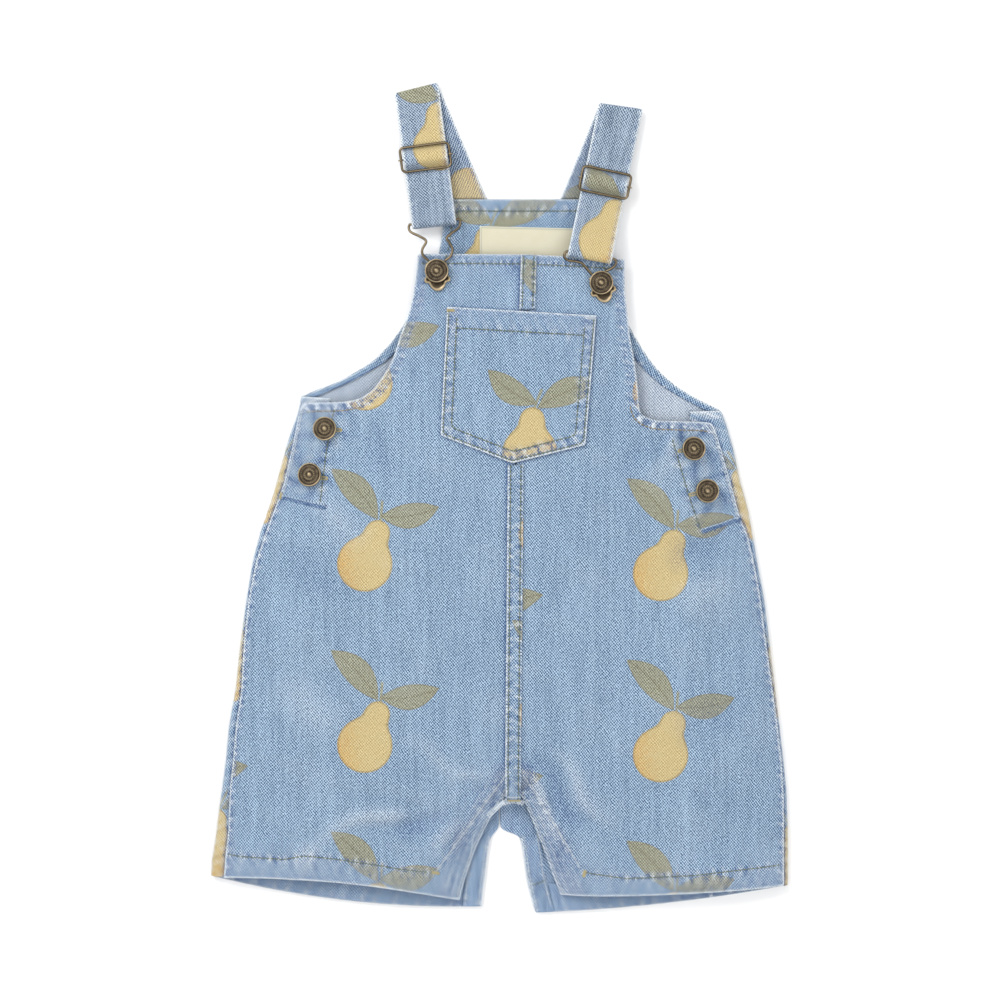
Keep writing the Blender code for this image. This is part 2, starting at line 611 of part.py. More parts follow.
def strap_rows(strap):
    """The strap's two edges and middle, from the back over the shoulder to the clip and back."""
    start, length, along, across = strap_frame(strap)
    slider_distance = strap.slider_distance
    fold_line = (Vector(strap.fold_right) - Vector(strap.fold_left)).normalized()
    end_line = (Vector(strap.end_right) - Vector(strap.end_left)).normalized()
    half = 0.5 * STRAP_THICKNESS
    shoulder_radius = 0.5 * (STRAP_SHOULDER_Z - STRAP_BACK_Z)
    end_radius = 0.5 * TURN_DROP
    shoulder = shoulder_radius + half
    turn = length - end_radius - half

    def edges(distance, height):
        away = distance - slider_distance
        line, reach = (fold_line, slider_distance) if away < 0.0 else (end_line, length - slider_distance)
        slant = min(max(2.0 * abs(away) / reach - 1.0, 0.0), 1.0)
        direction = mix(across, line, slant)
        direction *= 0.5 * STRAP_WIDTH / direction.dot(across)
        centre = start + along * distance
        return [Vector((*(centre + direction * side), height)) for side in (-1.0, 0.0, 1.0)]

    rows = []
    first = edges(shoulder, STRAP_BACK_Z)
    for step in range(6):
        share = step / 6.0
        left = mix((*strap.back_left, STRAP_BACK_Z), first[0], share)
        right = mix((*strap.back_right, STRAP_BACK_Z), first[2], share)
        rows.append([left, mix(left, right, 0.5), right])
    for step in range(5):
        angle = math.pi * step / 4.0
        height = STRAP_BACK_Z + shoulder_radius * (1.0 - math.cos(angle))
        rows.append(edges(shoulder - shoulder_radius * math.sin(angle), height))

    top_bar = slider_distance - SLIDER_HALF_HEIGHT
    distances = [shoulder + (top_bar - 8.0 - shoulder) * step / 3.0 for step in range(1, 4)]
    distances.append(top_bar - 4.0)
    low_bar = slider_distance + SLIDER_HALF_HEIGHT
    rise_middle = 0.5 * SLIDER_HALF_HEIGHT
    distances.extend((top_bar - BAR_REST, top_bar + BAR_REST, top_bar + rise_middle,
                      slider_distance - BAR_REST, slider_distance + BAR_REST, low_bar - rise_middle,
                      low_bar - BAR_REST, low_bar + BAR_REST, low_bar + 4.0, low_bar + 7.0))
    rest = turn - TURN_OPENING - (low_bar + 7.0)
    distances.extend(low_bar + 7.0 + rest * step / 3.0 for step in (1, 2, 3))
    distances.extend((turn - 0.5 * TURN_OPENING, turn))
    rows.extend(edges(distance, strap_height(distance, turn, strap)) for distance in distances)

    for step in range(1, 5):
        angle = math.pi * step / 4.0
        height = strap.end_z - end_radius * (1.0 - math.cos(angle))
        rows.append(edges(turn + end_radius * math.sin(angle), height))
    for distance in distances[-2:-7:-1]:
        opening = smooth_step(max(0.0, 1.0 - (turn - distance) / TURN_OPENING))
        drop = RETURN_DROP + (TURN_DROP - RETURN_DROP) * opening
        rows.append(edges(distance, strap_height(distance, turn, strap) - drop))
    return rows


def make_straps():
    """Each strap, with its thickness to both sides of its middle."""
    for side, strap in STRAPS.items():
        piece = sheet_object("strap_" + side, strap_rows(strap), STRAP_THICKNESS, DENIM_BLUE)
        piece.modifiers["wall"].offset = 0.0


def wire_object(name, points, cyclic, material):
    """A round wire through a list of points."""
    curve = bpy.data.curves.new(name, "CURVE")
    curve.dimensions = "3D"
    curve.bevel_depth = WIRE_RADIUS * MM
    curve.bevel_resolution = 2
    curve.use_fill_caps = not cyclic
    spline = curve.splines.new("POLY")
    spline.points.add(len(points) - 1)
    for spot, point in zip(spline.points, points):
        spot.co = (*(Vector(point) * MM), 1.0)
    spline.use_cyclic_u = cyclic
    return add_object(name, curve, material)


def make_sliders():
    """The wire frame of each slider and the bar that the strap passes over."""
    corner = 2.5
    for side, strap in STRAPS.items():
        start, _, along, across = strap_frame(strap)
        centre = start + along * strap.slider_distance
        outline = []
        for sign_x, sign_y, first in ((1, 1, 0.0), (-1, 1, 90.0), (-1, -1, 180.0), (1, -1, 270.0)):
            for step in range(4):
                angle = math.radians(first + 30.0 * step)
                offset_x = sign_x * (SLIDER_HALF_WIDTH - corner) + corner * math.cos(angle)
                offset_y = sign_y * (SLIDER_HALF_HEIGHT - corner) + corner * math.sin(angle)
                outline.append(Vector((*(centre + across * offset_x - along * offset_y), SLIDER_Z)))
        wire_object("slider_" + side, outline, True, BRASS)
        reach = SLIDER_HALF_WIDTH - WIRE_RADIUS - GAP
        ends = [Vector((*(centre + across * sign * reach), SLIDER_Z)) for sign in (-1, 1)]
        wire_object("slider_bar_" + side, ends, False, BRASS)


def smooth_path(points, straight_run):
    """A wire's points with one more between each pair, on a smooth curve, but for one run."""
    path = [Vector(points[0])]
    for index in range(len(points) - 1):
        start, end = Vector(points[index]), Vector(points[index + 1])
        if index != straight_run:
            before = Vector(points[max(index - 1, 0)])
            after = Vector(points[min(index + 2, len(points) - 1)])
            path.append((9.0 * (start + end) - before - after) / 16.0 if 0 < index < len(points) - 2
                        and index not in (straight_run - 1, straight_run + 1) else 0.5 * (start + end))
        path.append(end)
    return path


def make_clips():
    """The bent wire of each clip and the plate that hooks over the button."""
    for side, points in CLIP_WIRES.items():
        wire_object("clip_wire_" + side, smooth_path(points, CLIP_STRAIGHT_RUN[side]), False, BRASS)

        outline = list(PLATE_SIDE) + [(0.0, -12.6)] + [(-x, y) for x, y in reversed(PLATE_SIDE)]
        hole = []
        for step in range(16):
            angle = math.pi * step / 8.0
            hole.append((PLATE_HOLE_RADIUS * math.cos(angle), PLATE_HOLE_RADIUS * math.sin(angle)))
        curve = bpy.data.curves.new("clip_plate_" + side, "CURVE")
        curve.dimensions = "2D"
        curve.fill_mode = "BOTH"
        curve.extrude = 0.5 * PLATE_THICKNESS * MM
        for loop in (outline, hole):
            spline = curve.splines.new("POLY")
            spline.points.add(len(loop) - 1)
            for spot, (x, y) in zip(spline.points, loop):
                spot.co = (x * MM, y * MM, 0.0, 1.0)
            spline.use_cyclic_u = True
        plate = add_object("clip_plate_" + side, curve, BRASS)
        place = BIB_BUTTONS[side]
        plate.location = Vector((place.x, place.y, PLATE_Z + 0.5 * PLATE_THICKNESS)) * MM
        plate.rotation_euler = (0.0, 0.0, PLATE_TURN[side])


def button_object(name, shank_length):
    """A turned button: a domed face with a rim and a boss over a short shank."""
    profile = [(radius, shank_length + height) for radius, height in BUTTON_FACE]
    profile += [(SHANK_RADIUS, shank_length), (SHANK_RADIUS, 0.0), (0.0, 0.0)]
    mesh = bpy.data.meshes.new(name)
    vertices = [(radius * MM, 0.0, height * MM) for radius, height in profile]
    mesh.from_pydata(vertices, [(index, index + 1) for index in range(len(vertices) - 1)], [])
    piece = add_object(name, mesh, BRASS)
    turn = piece.modifiers.new("turn", "SCREW")
    turn.steps = BUTTON_STEPS
    turn.render_steps = BUTTON_STEPS
    turn.use_merge_vertices = True
    turn.merge_threshold = 0.00001
    return piece


def make_buttons(tree):
    """Two buttons under the clips and two at each side opening."""
    for side, place in BIB_BUTTONS.items():
        foot = height_on(tree, place.x, place.y, SHANK_RADIUS) + GAP
        head = PLATE_Z + PLATE_THICKNESS + GAP
        button = button_object("bib_button_" + side, head - foot)
        button.location = Vector((place.x, place.y, foot)) * MM
    for side, place in SIDE_BUTTONS.items():
        reach = 0.8 * BUTTON_RADIUS
        slope_x = height_on(tree, place.x + reach, place.y) - height_on(tree, place.x - reach, place.y)
        slope_y = height_on(tree, place.x, place.y + reach) - height_on(tree, place.x, place.y - reach)
        normal = Vector((-slope_x / (2.0 * reach), -slope_y / (2.0 * reach), 1.0)).normalized()
        seat = Vector((place.x, place.y, height_on(tree, place.x, place.y)))
        button = button_object("side_button_" + side, 1.1)
        button.location = (seat + normal * (GAP + 0.2)) * MM
        button.rotation_euler = normal.to_track_quat("Z", "Y").to_euler()


clear_scene()
GARMENT = bpy.data.collections.new("denim_dungarees")
bpy.context.scene.collection.children.link(GARMENT)

DENIM_BLUE = make_material("washed_denim", (0.30, 0.42, 0.58), 0.85, 0.0)
DENIM_INSIDE = make_material("denim_wrong_side", (0.45, 0.56, 0.70), 0.85, 0.0)
LABEL_CREAM = make_material("woven_label", (0.80, 0.74, 0.56), 0.8, 0.0)
BRASS = make_material("antique_brass", (0.22, 0.15, 0.08), 0.35, 1.0)

make_backs()
make_back_linings()
make_fronts()
make_front_hems()
make_label()
make_straps()
make_sliders()
front_tree = surface_tree(("front_left", "front_right"))
make_seam_strips(front_tree)
make_pocket(front_tree)
make_clips()
make_buttons(front_tree)
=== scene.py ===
"""The finished look of a small child's denim dungarees that lie flat with the front up.

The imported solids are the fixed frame. Each piece of cloth is laid again over its own solid as a
thin shell with its seams, puckers and creases, and each piece of metal is made again finely.
The tables and functions work in millimetres, and a mesh is scaled to metres when it is made.
"""

import math
from collections import namedtuple

import bpy
import numpy as np
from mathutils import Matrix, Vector
from mathutils.bvhtree import BVHTree


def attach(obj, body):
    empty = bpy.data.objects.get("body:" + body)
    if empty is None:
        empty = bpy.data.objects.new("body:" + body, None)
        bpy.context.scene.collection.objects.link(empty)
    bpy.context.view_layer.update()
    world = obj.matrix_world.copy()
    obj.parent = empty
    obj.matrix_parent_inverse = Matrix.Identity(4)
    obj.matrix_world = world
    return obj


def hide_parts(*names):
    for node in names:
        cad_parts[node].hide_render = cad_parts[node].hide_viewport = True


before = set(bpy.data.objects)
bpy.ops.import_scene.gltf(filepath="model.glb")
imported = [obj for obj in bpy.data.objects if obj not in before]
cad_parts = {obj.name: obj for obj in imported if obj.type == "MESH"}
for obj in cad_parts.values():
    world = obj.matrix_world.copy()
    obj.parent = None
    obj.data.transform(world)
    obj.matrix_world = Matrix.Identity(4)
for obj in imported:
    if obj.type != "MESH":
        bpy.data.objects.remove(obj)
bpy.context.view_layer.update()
MM = 0.001

# Cloth
DENIM = 1.3
TURNING = 1.0
LABEL_THICKNESS = 0.6
GAP = 0.3
FOLD_RADIUS = 2.5
SIDE_RISE = 45.0
INSEAM_RISE = 30.0
SEAM_HALF_GAP = 0.25
SEAM_WIDTH = 10.0
PLACKET_WIDTH = 12.5
ARMHOLE_FACING = 9.0
ROW_STEP = 1.45
SMOOTHING = 3.0
FRONT_COLUMNS = 98
BACK_COLUMNS = 56
BACK_ROW_STEP = 2.4
TURNED_ROW_STEP = 1.7
LINING_ROW_STEP = 1.5
LINING_TOP = DENIM + GAP + TURNING

# How much longer or wider the cut cloth of a lining is than what shows
LINING_EXTRA = 8.0

# Straps and metal
STRAP_WIDTH = 28.0
STRAP_THICKNESS = 2.0
WIRE_RADIUS = 0.8
EYE_RADIUS = 1.25
EYE_WIRE_RADIUS = 0.42
SLIDER_CORNER = 2.5
SLIDER_HALF_WIDTH = 15.5
SLIDER_HALF_HEIGHT = 7.7
SLIDER_Z = 8.6
BAR_REST = 1.2
PLATE_Z = 10.7
PLATE_THICKNESS = 1.0
BUTTON_RADIUS = 7.5
BUTTON_HEAD = 3.3
SHANK_RADIUS = 2.5

# A section of a front half runs from the centre seam or inseam out to the side.
FrontRow = namedtuple("FrontRow", "inner_x inner_y outer_x outer_y inner_z crown_z outer_z bow")

FRONT_LEFT = [FrontRow(*row) for row in (
    (18.5, 154.0, -51.5, 154.5, 10.6, 10.6, 8.5, 0.0),
    (18.3, 148.0, -52.0, 148.0, 10.6, 10.6, 8.5, 0.0),
    (18.0, 135.0, -53.5, 135.0, 10.6, 10.6, 8.5, 0.0),
    (17.5, 119.0, -56.5, 119.0, 10.8, 10.8, 8.5, 0.0),
    (15.8, 103.5, -62.5, 103.5, 11.2, 11.2, 8.5, 0.0),
    (14.1, 87.5, -67.5, 87.5, 11.5, 11.5, 8.5, 0.0),
    (13.1, 79.0, -73.0, 78.0, 11.7, 11.7, 8.5, 0.0),
    (12.3, 71.0, -79.0, 69.5, 11.9, 11.9, 8.5, 0.0),
    (11.4, 63.5, -88.0, 63.0, 12.0, 12.0, 8.3, 0.0),
    (10.5, 53.5, -100.0, 61.0, 12.2, 12.2, 8.0, 0.0),
    (10.4, 42.0, -114.5, 61.0, 12.4, 12.4, 7.2, 0.0),
    (10.3, 31.0, -125.0, 60.5, 12.6, 12.6, 6.6, 0.0),
    (10.2, 21.0, -127.0, 52.5, 12.8, 12.8, 6.6, 0.0),
    (10.1, 9.5, -131.0, 32.0, 13.0, 13.0, 6.6, 0.0),
    (10.0, -4.0, -136.0, 10.5, 13.0, 13.0, 6.6, 0.0),
    (9.9, -14.5, -139.0, 1.5, 13.0, 13.0, 6.6, 0.0),
    (9.8, -29.0, -146.0, -16.5, 13.0, 13.0, 6.6, 0.0),
    (9.6, -48.0, -153.5, -38.5, 13.0, 13.0, 6.6, 0.0),
    (9.5, -67.0, -158.5, -63.5, 13.0, 13.0, 6.6, 0.0),
    (9.2, -92.0, -161.5, -92.0, 13.0, 13.0, 6.6, 0.0),
    (9.0, -120.5, -163.0, -120.5, 12.8, 12.8, 6.6, 0.0),
    (8.8, -142.5, -166.5, -143.5, 12.3, 12.6, 6.6, 0.0),
    (8.6, -164.5, -168.5, -167.5, 10.4, 12.4, 6.6, 0.0),
    (7.5, -180.0, -170.0, -180.0, 7.6, 12.2, 6.6, 0.0),
    (2.5, -190.5, -170.5, -189.5, 5.6, 12.0, 6.6, 0.0),
    (-4.0, -199.0, -171.0, -199.0, 4.6, 11.8, 6.6, 0.0),
    (-10.0, -210.5, -171.0, -208.5, 4.2, 11.7, 6.6, 1.0),
    (-15.5, -222.5, -172.0, -216.5, 4.2, 11.6, 6.6, 2.0),
    (-20.5, -237.0, -173.0, -224.5, 4.2, 11.5, 6.6, 3.5),
    (-23.0, -245.5, -173.5, -232.0, 4.2, 11.5, 6.6, 4.5),
    (-25.0, -253.5, -174.0, -239.0, 4.2, 11.5, 6.6, 4.5),
)]

FRONT_RIGHT = [FrontRow(*row) for row in (
    (18.5, 154.0, 79.0, 151.0, 10.6, 10.6, 8.5, 0.0),
    (18.3, 148.0, 79.0, 144.5, 10.6, 10.6, 8.5, 0.0),
    (18.0, 135.0, 79.0, 131.5, 10.6, 10.6, 8.5, 0.0),
    (17.5, 119.0, 80.5, 119.0, 10.8, 10.8, 8.5, 0.0),
    (15.8, 103.5, 82.0, 103.5, 11.2, 11.2, 8.5, 0.0),
    (14.1, 87.5, 85.0, 87.5, 11.5, 11.5, 8.5, 0.0),
    (13.1, 79.0, 86.5, 76.0, 11.7, 11.7, 8.5, 0.0),
    (12.3, 71.0, 87.5, 67.5, 11.9, 11.9, 8.5, 0.0),
    (11.4, 63.5, 87.5, 60.5, 12.0, 12.0, 8.5, 0.0),
    (10.6, 55.0, 89.0, 53.0, 12.2, 12.2, 8.5, 0.0),
    (10.4, 43.5, 98.0, 49.5, 12.4, 12.4, 8.3, 0.0),
    (10.3, 32.0, 117.0, 49.0, 12.6, 12.6, 7.2, 0.0),
    (10.2, 21.0, 134.0, 48.5, 12.8, 12.8, 6.6, 0.0),
    (10.1, 10.5, 136.5, 43.0, 13.0, 13.0, 6.6, 0.0),
    (10.0, 0.5, 141.5, 26.0, 13.0, 13.0, 6.6, 0.0),
    (9.9, -9.5, 147.0, 6.5, 13.0, 13.0, 6.6, 0.0),
    (9.9, -21.0, 152.0, -12.5, 13.0, 13.0, 6.6, 0.0),
    (9.8, -31.0, 156.5, -22.0, 13.0, 13.0, 6.6, 0.0),
    (9.6, -48.0, 160.5, -38.5, 13.0, 13.0, 6.6, 0.0),
    (9.5, -67.0, 164.5, -61.0, 13.0, 13.0, 6.6, 0.0),
    (9.2, -92.0, 168.5, -92.0, 13.0, 13.0, 6.6, 0.0),
    (9.0, -120.5, 172.5, -120.5, 12.8, 12.8, 6.6, 0.0),
    (8.8, -142.5, 175.5, -142.5, 12.3, 12.6, 6.6, 0.0),
    (8.6, -164.5, 178.0, -164.5, 10.4, 12.4, 6.6, 0.0),
    (9.0, -180.0, 179.0, -180.0, 7.6, 12.2, 6.6, 0.0),
    (15.0, -190.5, 179.5, -190.5, 5.6, 12.0, 6.6, 0.0),
    (19.5, -201.0, 179.5, -201.0, 4.6, 11.8, 6.6, 0.0),
    (23.5, -211.0, 179.5, -210.0, 4.2, 11.7, 6.6, 0.0),
    (28.0, -222.5, 179.5, -218.0, 4.2, 11.6, 6.6, 0.0),
    (33.5, -238.0, 179.5, -230.0, 4.2, 11.5, 6.6, -1.0),
    (36.0, -244.5, 179.5, -237.0, 4.2, 11.5, 6.6, -2.0),
    (38.5, -250.0, 179.5, -244.0, 4.2, 11.5, 6.6, -2.0),
)]

# A section of a back half runs along the floor from the centre seam or inseam to the
# outline, and wrap is how far it comes back inwards on top, over the fold.
BackRow = namedtuple("BackRow", "inner_x inner_y outer_x outer_y wrap bow")

BACK_LEFT = [BackRow(*row) for row in (
    (0.0, 189.5, -35.0, 189.5, 0.0, 0.0),
    (0.0, 181.0, -35.5, 181.0, 0.0, 0.0),
    (0.0, 169.5, -36.0, 169.5, 0.0, 0.0),
    (0.0, 154.5, -38.5, 154.5, 0.0, 0.0),
    (0.0, 138.0, -45.5, 138.0, 0.0, 0.0),
    (0.0, 123.0, -54.0, 123.0, 0.0, 0.0),
    (0.0, 109.0, -61.0, 109.5, 0.0, 0.0),
    (0.0, 99.0, -69.0, 98.5, 0.0, 0.0),
    (0.0, 90.0, -79.5, 87.5, 0.0, 0.0),
    (0.0, 80.0, -100.0, 75.0, 0.0, 0.0),
    (0.0, 66.0, -114.5, 69.5, 0.0, 0.0),
    (0.0, 55.0, -125.5, 65.0, 19.0, 0.0),
    (0.0, 39.5, -127.0, 55.5, 20.0, 0.0),
    (0.0, 24.5, -133.0, 39.0, 21.0, 0.0),
    (0.0, 10.5, -138.5, 20.0, 21.0, 0.0),
    (0.0, -4.0, -143.5, 1.5, 20.0, 0.0),
    (0.0, -19.5, -150.5, -18.5, 11.0, 0.0),
    (0.0, -39.5, -156.0, -38.5, 8.0, 0.0),
    (0.0, -63.5, -160.0, -63.5, 7.5, 0.0),
    (0.0, -92.0, -164.0, -92.0, 8.5, 0.0),
    (0.0, -120.5, -167.0, -120.5, 10.0, 0.0),
    (0.0, -142.5, -171.0, -142.5, 10.5, 0.0),
    (0.0, -164.5, -173.0, -164.5, 11.0, 0.0),
    (0.0, -183.5, -175.5, -183.5, 12.0, 0.0),
    (0.0, -199.0, -178.0, -200.5, 13.0, 0.0),
    (0.0, -209.0, -179.0, -210.5, 14.0, 0.0),
    (-5.5, -213.0, -180.0, -216.5, 14.5, -1.0),
    (-7.5, -225.0, -181.0, -223.0, 14.5, -3.0),
    (-9.0, -239.0, -182.0, -228.5, 14.5, -5.0),
    (-10.5, -248.0, -182.0, -233.5, 14.5, -6.0),
    (-11.0, -257.5, -182.5, -238.0, 14.5, -6.0),
)]

BACK_RIGHT = [BackRow(*row) for row in (
    (0.0, 189.5, 67.0, 189.5, 0.0, 0.0),
    (0.0, 181.0, 67.5, 181.0, 0.0, 0.0),
    (0.0, 169.5, 68.5, 169.5, 0.0, 0.0),
    (0.0, 154.5, 70.0, 154.5, 0.0, 0.0),
    (0.0, 138.0, 73.0, 138.0, 0.0, 0.0),
    (0.0, 123.0, 77.0, 123.0, 0.0, 0.0),
    (0.0, 110.0, 82.0, 109.0, 0.0, 0.0),
    (0.0, 101.5, 87.5, 99.5, 0.0, 0.0),
    (0.0, 92.5, 93.5, 90.0, 0.0, 0.0),
    (0.0, 84.0, 101.0, 80.5, 0.0, 0.0),
    (0.0, 73.5, 112.0, 71.0, 0.0, 0.0),
    (0.0, 62.5, 126.5, 62.5, 0.0, 0.0),
    (0.0, 50.0, 140.0, 56.0, 20.0, 0.0),
    (0.0, 37.0, 143.0, 48.5, 23.0, 0.0),
    (0.0, 24.5, 147.5, 33.0, 22.0, 0.0),
    (0.0, 10.5, 152.0, 12.0, 21.0, 0.0),
    (0.0, -4.0, 157.0, -5.5, 20.0, 0.0),
    (0.0, -21.0, 160.0, -22.0, 10.0, 0.0),
    (0.0, -39.5, 163.0, -39.5, 7.5, 0.0),
    (0.0, -63.5, 167.5, -63.5, 7.5, 0.0),
    (0.0, -92.0, 171.0, -92.0, 7.5, 0.0),
    (0.0, -120.5, 174.5, -120.5, 7.0, 0.0),
    (0.0, -142.5, 177.0, -142.5, 7.0, 0.0),
    (0.0, -164.5, 179.5, -164.5, 7.0, 0.0),
    (0.0, -183.5, 181.5, -183.5, 7.5, 0.0),
    (0.0, -199.0, 182.0, -199.0, 8.0, 0.0),
    (0.0, -209.0, 182.5, -210.5, 8.5, 0.0),
    (13.0, -213.0, 182.5, -216.5, 8.5, 0.0),
    (15.0, -225.0, 182.5, -224.5, 8.5, -1.0),
    (17.5, -243.0, 182.5, -232.5, 8.5, -2.0),
    (20.0, -252.5, 182.5, -238.0, 8.5, -3.0),
    (22.5, -261.5, 182.5, -244.0, 8.5, -3.0),
)]

# Rows of the tables: the armhole's corner, the side opening's end, the crotch, and where the back
# starts to wrap round the side
Landmarks = namedtuple("Landmarks", "corner opening_end inseam wrap")
LEFT_ROWS = Landmarks(11, 15, 23, 11)
RIGHT_ROWS = Landmarks(12, 16, 24, 12)
UNDER_ARM_ROW = 8
NECK_FACING_ROWS = 5
ARMHOLE_FACING_FIRST = 5
PLACKET_ROWS = 5
HEM_ROWS = 3

# A soft ridge of the front, or a trough where rise is negative, along the line between two points
Crease = namedtuple("Crease", "start_x start_y end_x end_y half_width rise")

CREASES = [Crease(*row) for row in (
    (-20.5, -180.0, -125.5, -222.5, 5.0, 1.7),
    (-29.5, -186.5, -66.0, -214.0, 7.0, -2.0),
    (-25.5, -196.5, -42.0, -227.5, 5.0, 1.4),
    (18.5, -160.0, 56.5, -210.5, 6.0, -2.2),
    (30.0, -156.0, 72.0, -208.0, 5.0, 1.4),
    (14.0, -168.0, 42.0, -218.0, 5.0, 1.2),
    (-1.4, -180.0, -5.5, -197.0, 1.7, -1.6),
    (15.0, -174.0, 19.5, -188.0, 2.4, -1.8),
    (-62.0, -150.0, -14.0, -176.0, 5.0, 0.9),
    (-123.0, -214.0, -122.0, -238.0, 7.0, 1.4),
    (-122.0, -2.0, -78.0, -26.0, 9.0, 1.0),
    (-142.0, -30.0, -96.0, -62.0, 11.0, -1.0),
    (148.0, -20.0, 104.0, -44.0, 9.0, -1.1),
    (150.0, -42.0, 112.0, -74.0, 11.0, 1.0),
    (96.0, 42.0, 74.0, 6.0, 8.0, -1.2),
    (112.0, 40.0, 96.0, 2.0, 8.0, 1.0),
    (-88.0, 52.0, -66.0, 12.0, 9.0, -1.0),
    (-146.0, -118.0, -92.0, -142.0, 13.0, 0.9),
    (160.0, -128.0, 108.0, -150.0, 13.0, -0.9),
    # Finer ones
    (4.0, -172.0, -30.0, -196.0, 3.0, -0.7),
    (2.0, -166.0, -38.0, -182.0, 3.5, 0.6),
    (16.0, -172.0, 34.0, -196.0, 3.0, 0.7),
    (-98.0, 54.0, -86.0, 36.0, 2.6, -0.7),
    (-92.0, 57.0, -80.0, 40.0, 2.6, 0.6),
    (-104.0, 34.0, -96.0, 20.0, 3.0, -0.6),
    (104.0, 46.0, 101.0, 26.0, 2.4, -0.8),
    (109.5, 46.0, 108.0, 24.0, 2.4, 0.7),
    (115.0, 46.0, 114.0, 30.0, 2.2, -0.7),
    (-60.0, 96.0, -48.0, 72.0, 4.0, -0.5),
    (78.0, 92.0, 68.0, 66.0, 4.0, -0.5),
    (150.0, -16.0, 128.0, -22.0, 3.5, -0.8),
    (-134.0, -6.0, -110.0, -16.0, 3.5, -0.6),
)]

CREASE_GAIN = 1.35

# Patches of the front painted a deeper blue; the two beside the crotch are painted shade in its hollows
DarkSpot = namedtuple("DarkSpot", "x y half_width half_height depth")
DARK_SPOTS = [DarkSpot(*row) for row in (
    (8.5, 145.0, 7.0, 6.0, 0.55),
    (14.0, 128.0, 4.0, 14.0, 0.30),
    (-52.0, 132.0, 5.0, 12.0, 0.30),
    (-130.0, 38.0, 5.0, 12.0, 0.35),
    (-126.0, 6.0, 8.0, 6.0, 0.40),
    (134.0, 22.0, 7.0, 5.0, 0.40),
    (141.0, -4.0, 7.0, 6.0, 0.40),
    (1.0, -176.0, 4.0, 8.0, 0.80),
    (17.5, -174.0, 4.0, 8.0, 0.80),
    (-26.0, -214.0, 8.0, 14.0, 0.50),
    (38.0, -222.0, 8.0, 14.0, 0.45),
    (-52.0, -208.0, 16.0, 7.0, 0.35),
    (52.0, -190.0, 8.0, 16.0, 0.35),
)]

# The centre front seam, from the bib to the crotch
SEAM_UPPER = ((18.4, 153.4), (17.5, 118.9))
SEAM_LOWER = ((10.2, 21.5), (9.0, -120.5), (8.6, -164.5), (8.6, -190.0))

# The bib pocket, seen from the front
POCKET_TOP_LEFT = (-33.0, 121.0)
POCKET_TOP_RIGHT = (61.0, 115.5)
POCKET_LOW_RIGHT = (54.0, 34.0)
POCKET_POINT = (8.0, 22.5)
POCKET_LOW_LEFT = (-37.0, 40.0)
POCKET_CENTRE = (10.0, 75.0)
POCKET_HEM = 13.0
POCKET_STITCHES = (1.4, 6.6)

# The rolled edge between the legs
CROTCH_FOLD = ((-7.5, -200.0), (-3.5, -196.5), (0.5, -192.6), (5.0, -190.9), (10.0, -190.6), (15.5, -191.9))
CROTCH_FOLD_Z = 6.0

LABEL_CORNERS = ((-12.5, 172.5), (48.0, 171.0), (48.0, 148.0), (-12.5, 149.5))

# Lines on each half of the front that don't follow an edge
FrontLines = namedtuple("FrontLines", "opening_end hem placket side_facing")
FRONT_LINES = {
    "front_left": FrontLines(
        opening_end=((-139.5, 1.3), (-125.7, -1.9), (-109.3, -5.7)),
        hem=((-171.5, -223.9), (-163.5, -225.2), (-135.8, -226.8), (-123.2, -224.3),
            (-106.2, -226.2), (-77.2, -230.3), (-62.7, -232.8), (-43.8, -235.0)),
        placket=((3.5, -174.5), (-18.5, -205.0), (-41.3, -236.3)),
        side_facing=((-104.0, 57.0), (-109.0, 30.0), (-113.0, -3.0))),
    "front_right": FrontLines(
        opening_end=((152.1, -12.6), (140.0, -16.6), (127.3, -20.8)),
        hem=((53.2, -235.0), (79.7, -238.8), (121.3, -236.9), (178.0, -230.6)),
        placket=((15.4, -174.5), (25.5, -189.6), (52.0, -234.4)),
        side_facing=((108.5, 38.0), (120.0, -1.0), (126.5, -19.0))),
}

# A row of khaki stitches on the right inseam placket
BACK_HEM_LINE = ((20.9, -244.0), (27.0, -242.0), (31.0, -240.2))

# The hollows beside the crotch, darkened with painted shade
CROTCH_HOLLOWS = (((-1.4, -180.0), (-5.0, -195.0)), ((14.3, -176.5), (18.8, -183.0)))

# Each strap: where it folds at the shoulder, where it is sewn to the back and where it
# turns round the clip, as its left and right edges, how far down its slider sits, and the
# height of its end and how long it takes to rise there. The right one ends on top of the bib.
Strap = namedtuple("Strap", "fold_left fold_right back_left back_right end_left end_right "
                            "slider_distance end_z end_rise")

STRAPS = {
    "left": Strap((-66.5, 256.5), (-38.5, 263.5), (-35.5, 189.9), (-8.0, 189.9),
                  (-54.5, 170.0), (-27.5, 173.0), 45.0, 9.2, 12.0),
    "right": Strap((62.5, 250.5), (91.0, 246.5), (38.5, 189.9), (66.5, 189.9),
                   (42.5, 152.5), (70.1, 147.6), 50.0, 16.2, 30.0),
}

# Heights of the middle of a strap's thickness along its way
STRAP_BACK_Z = 1.0
STRAP_SHOULDER_Z = 4.4
STRAP_UNDER_BAR_Z = 6.3
STRAP_OVER_BAR_Z = 10.9
STRAP_FRONT_Z = 7.3

# How far the doubled end of a strap lies under its front run, there and at the turn
RETURN_DROP = 2.4
TURN_DROP = 4.3
TURN_OPENING = 12.0

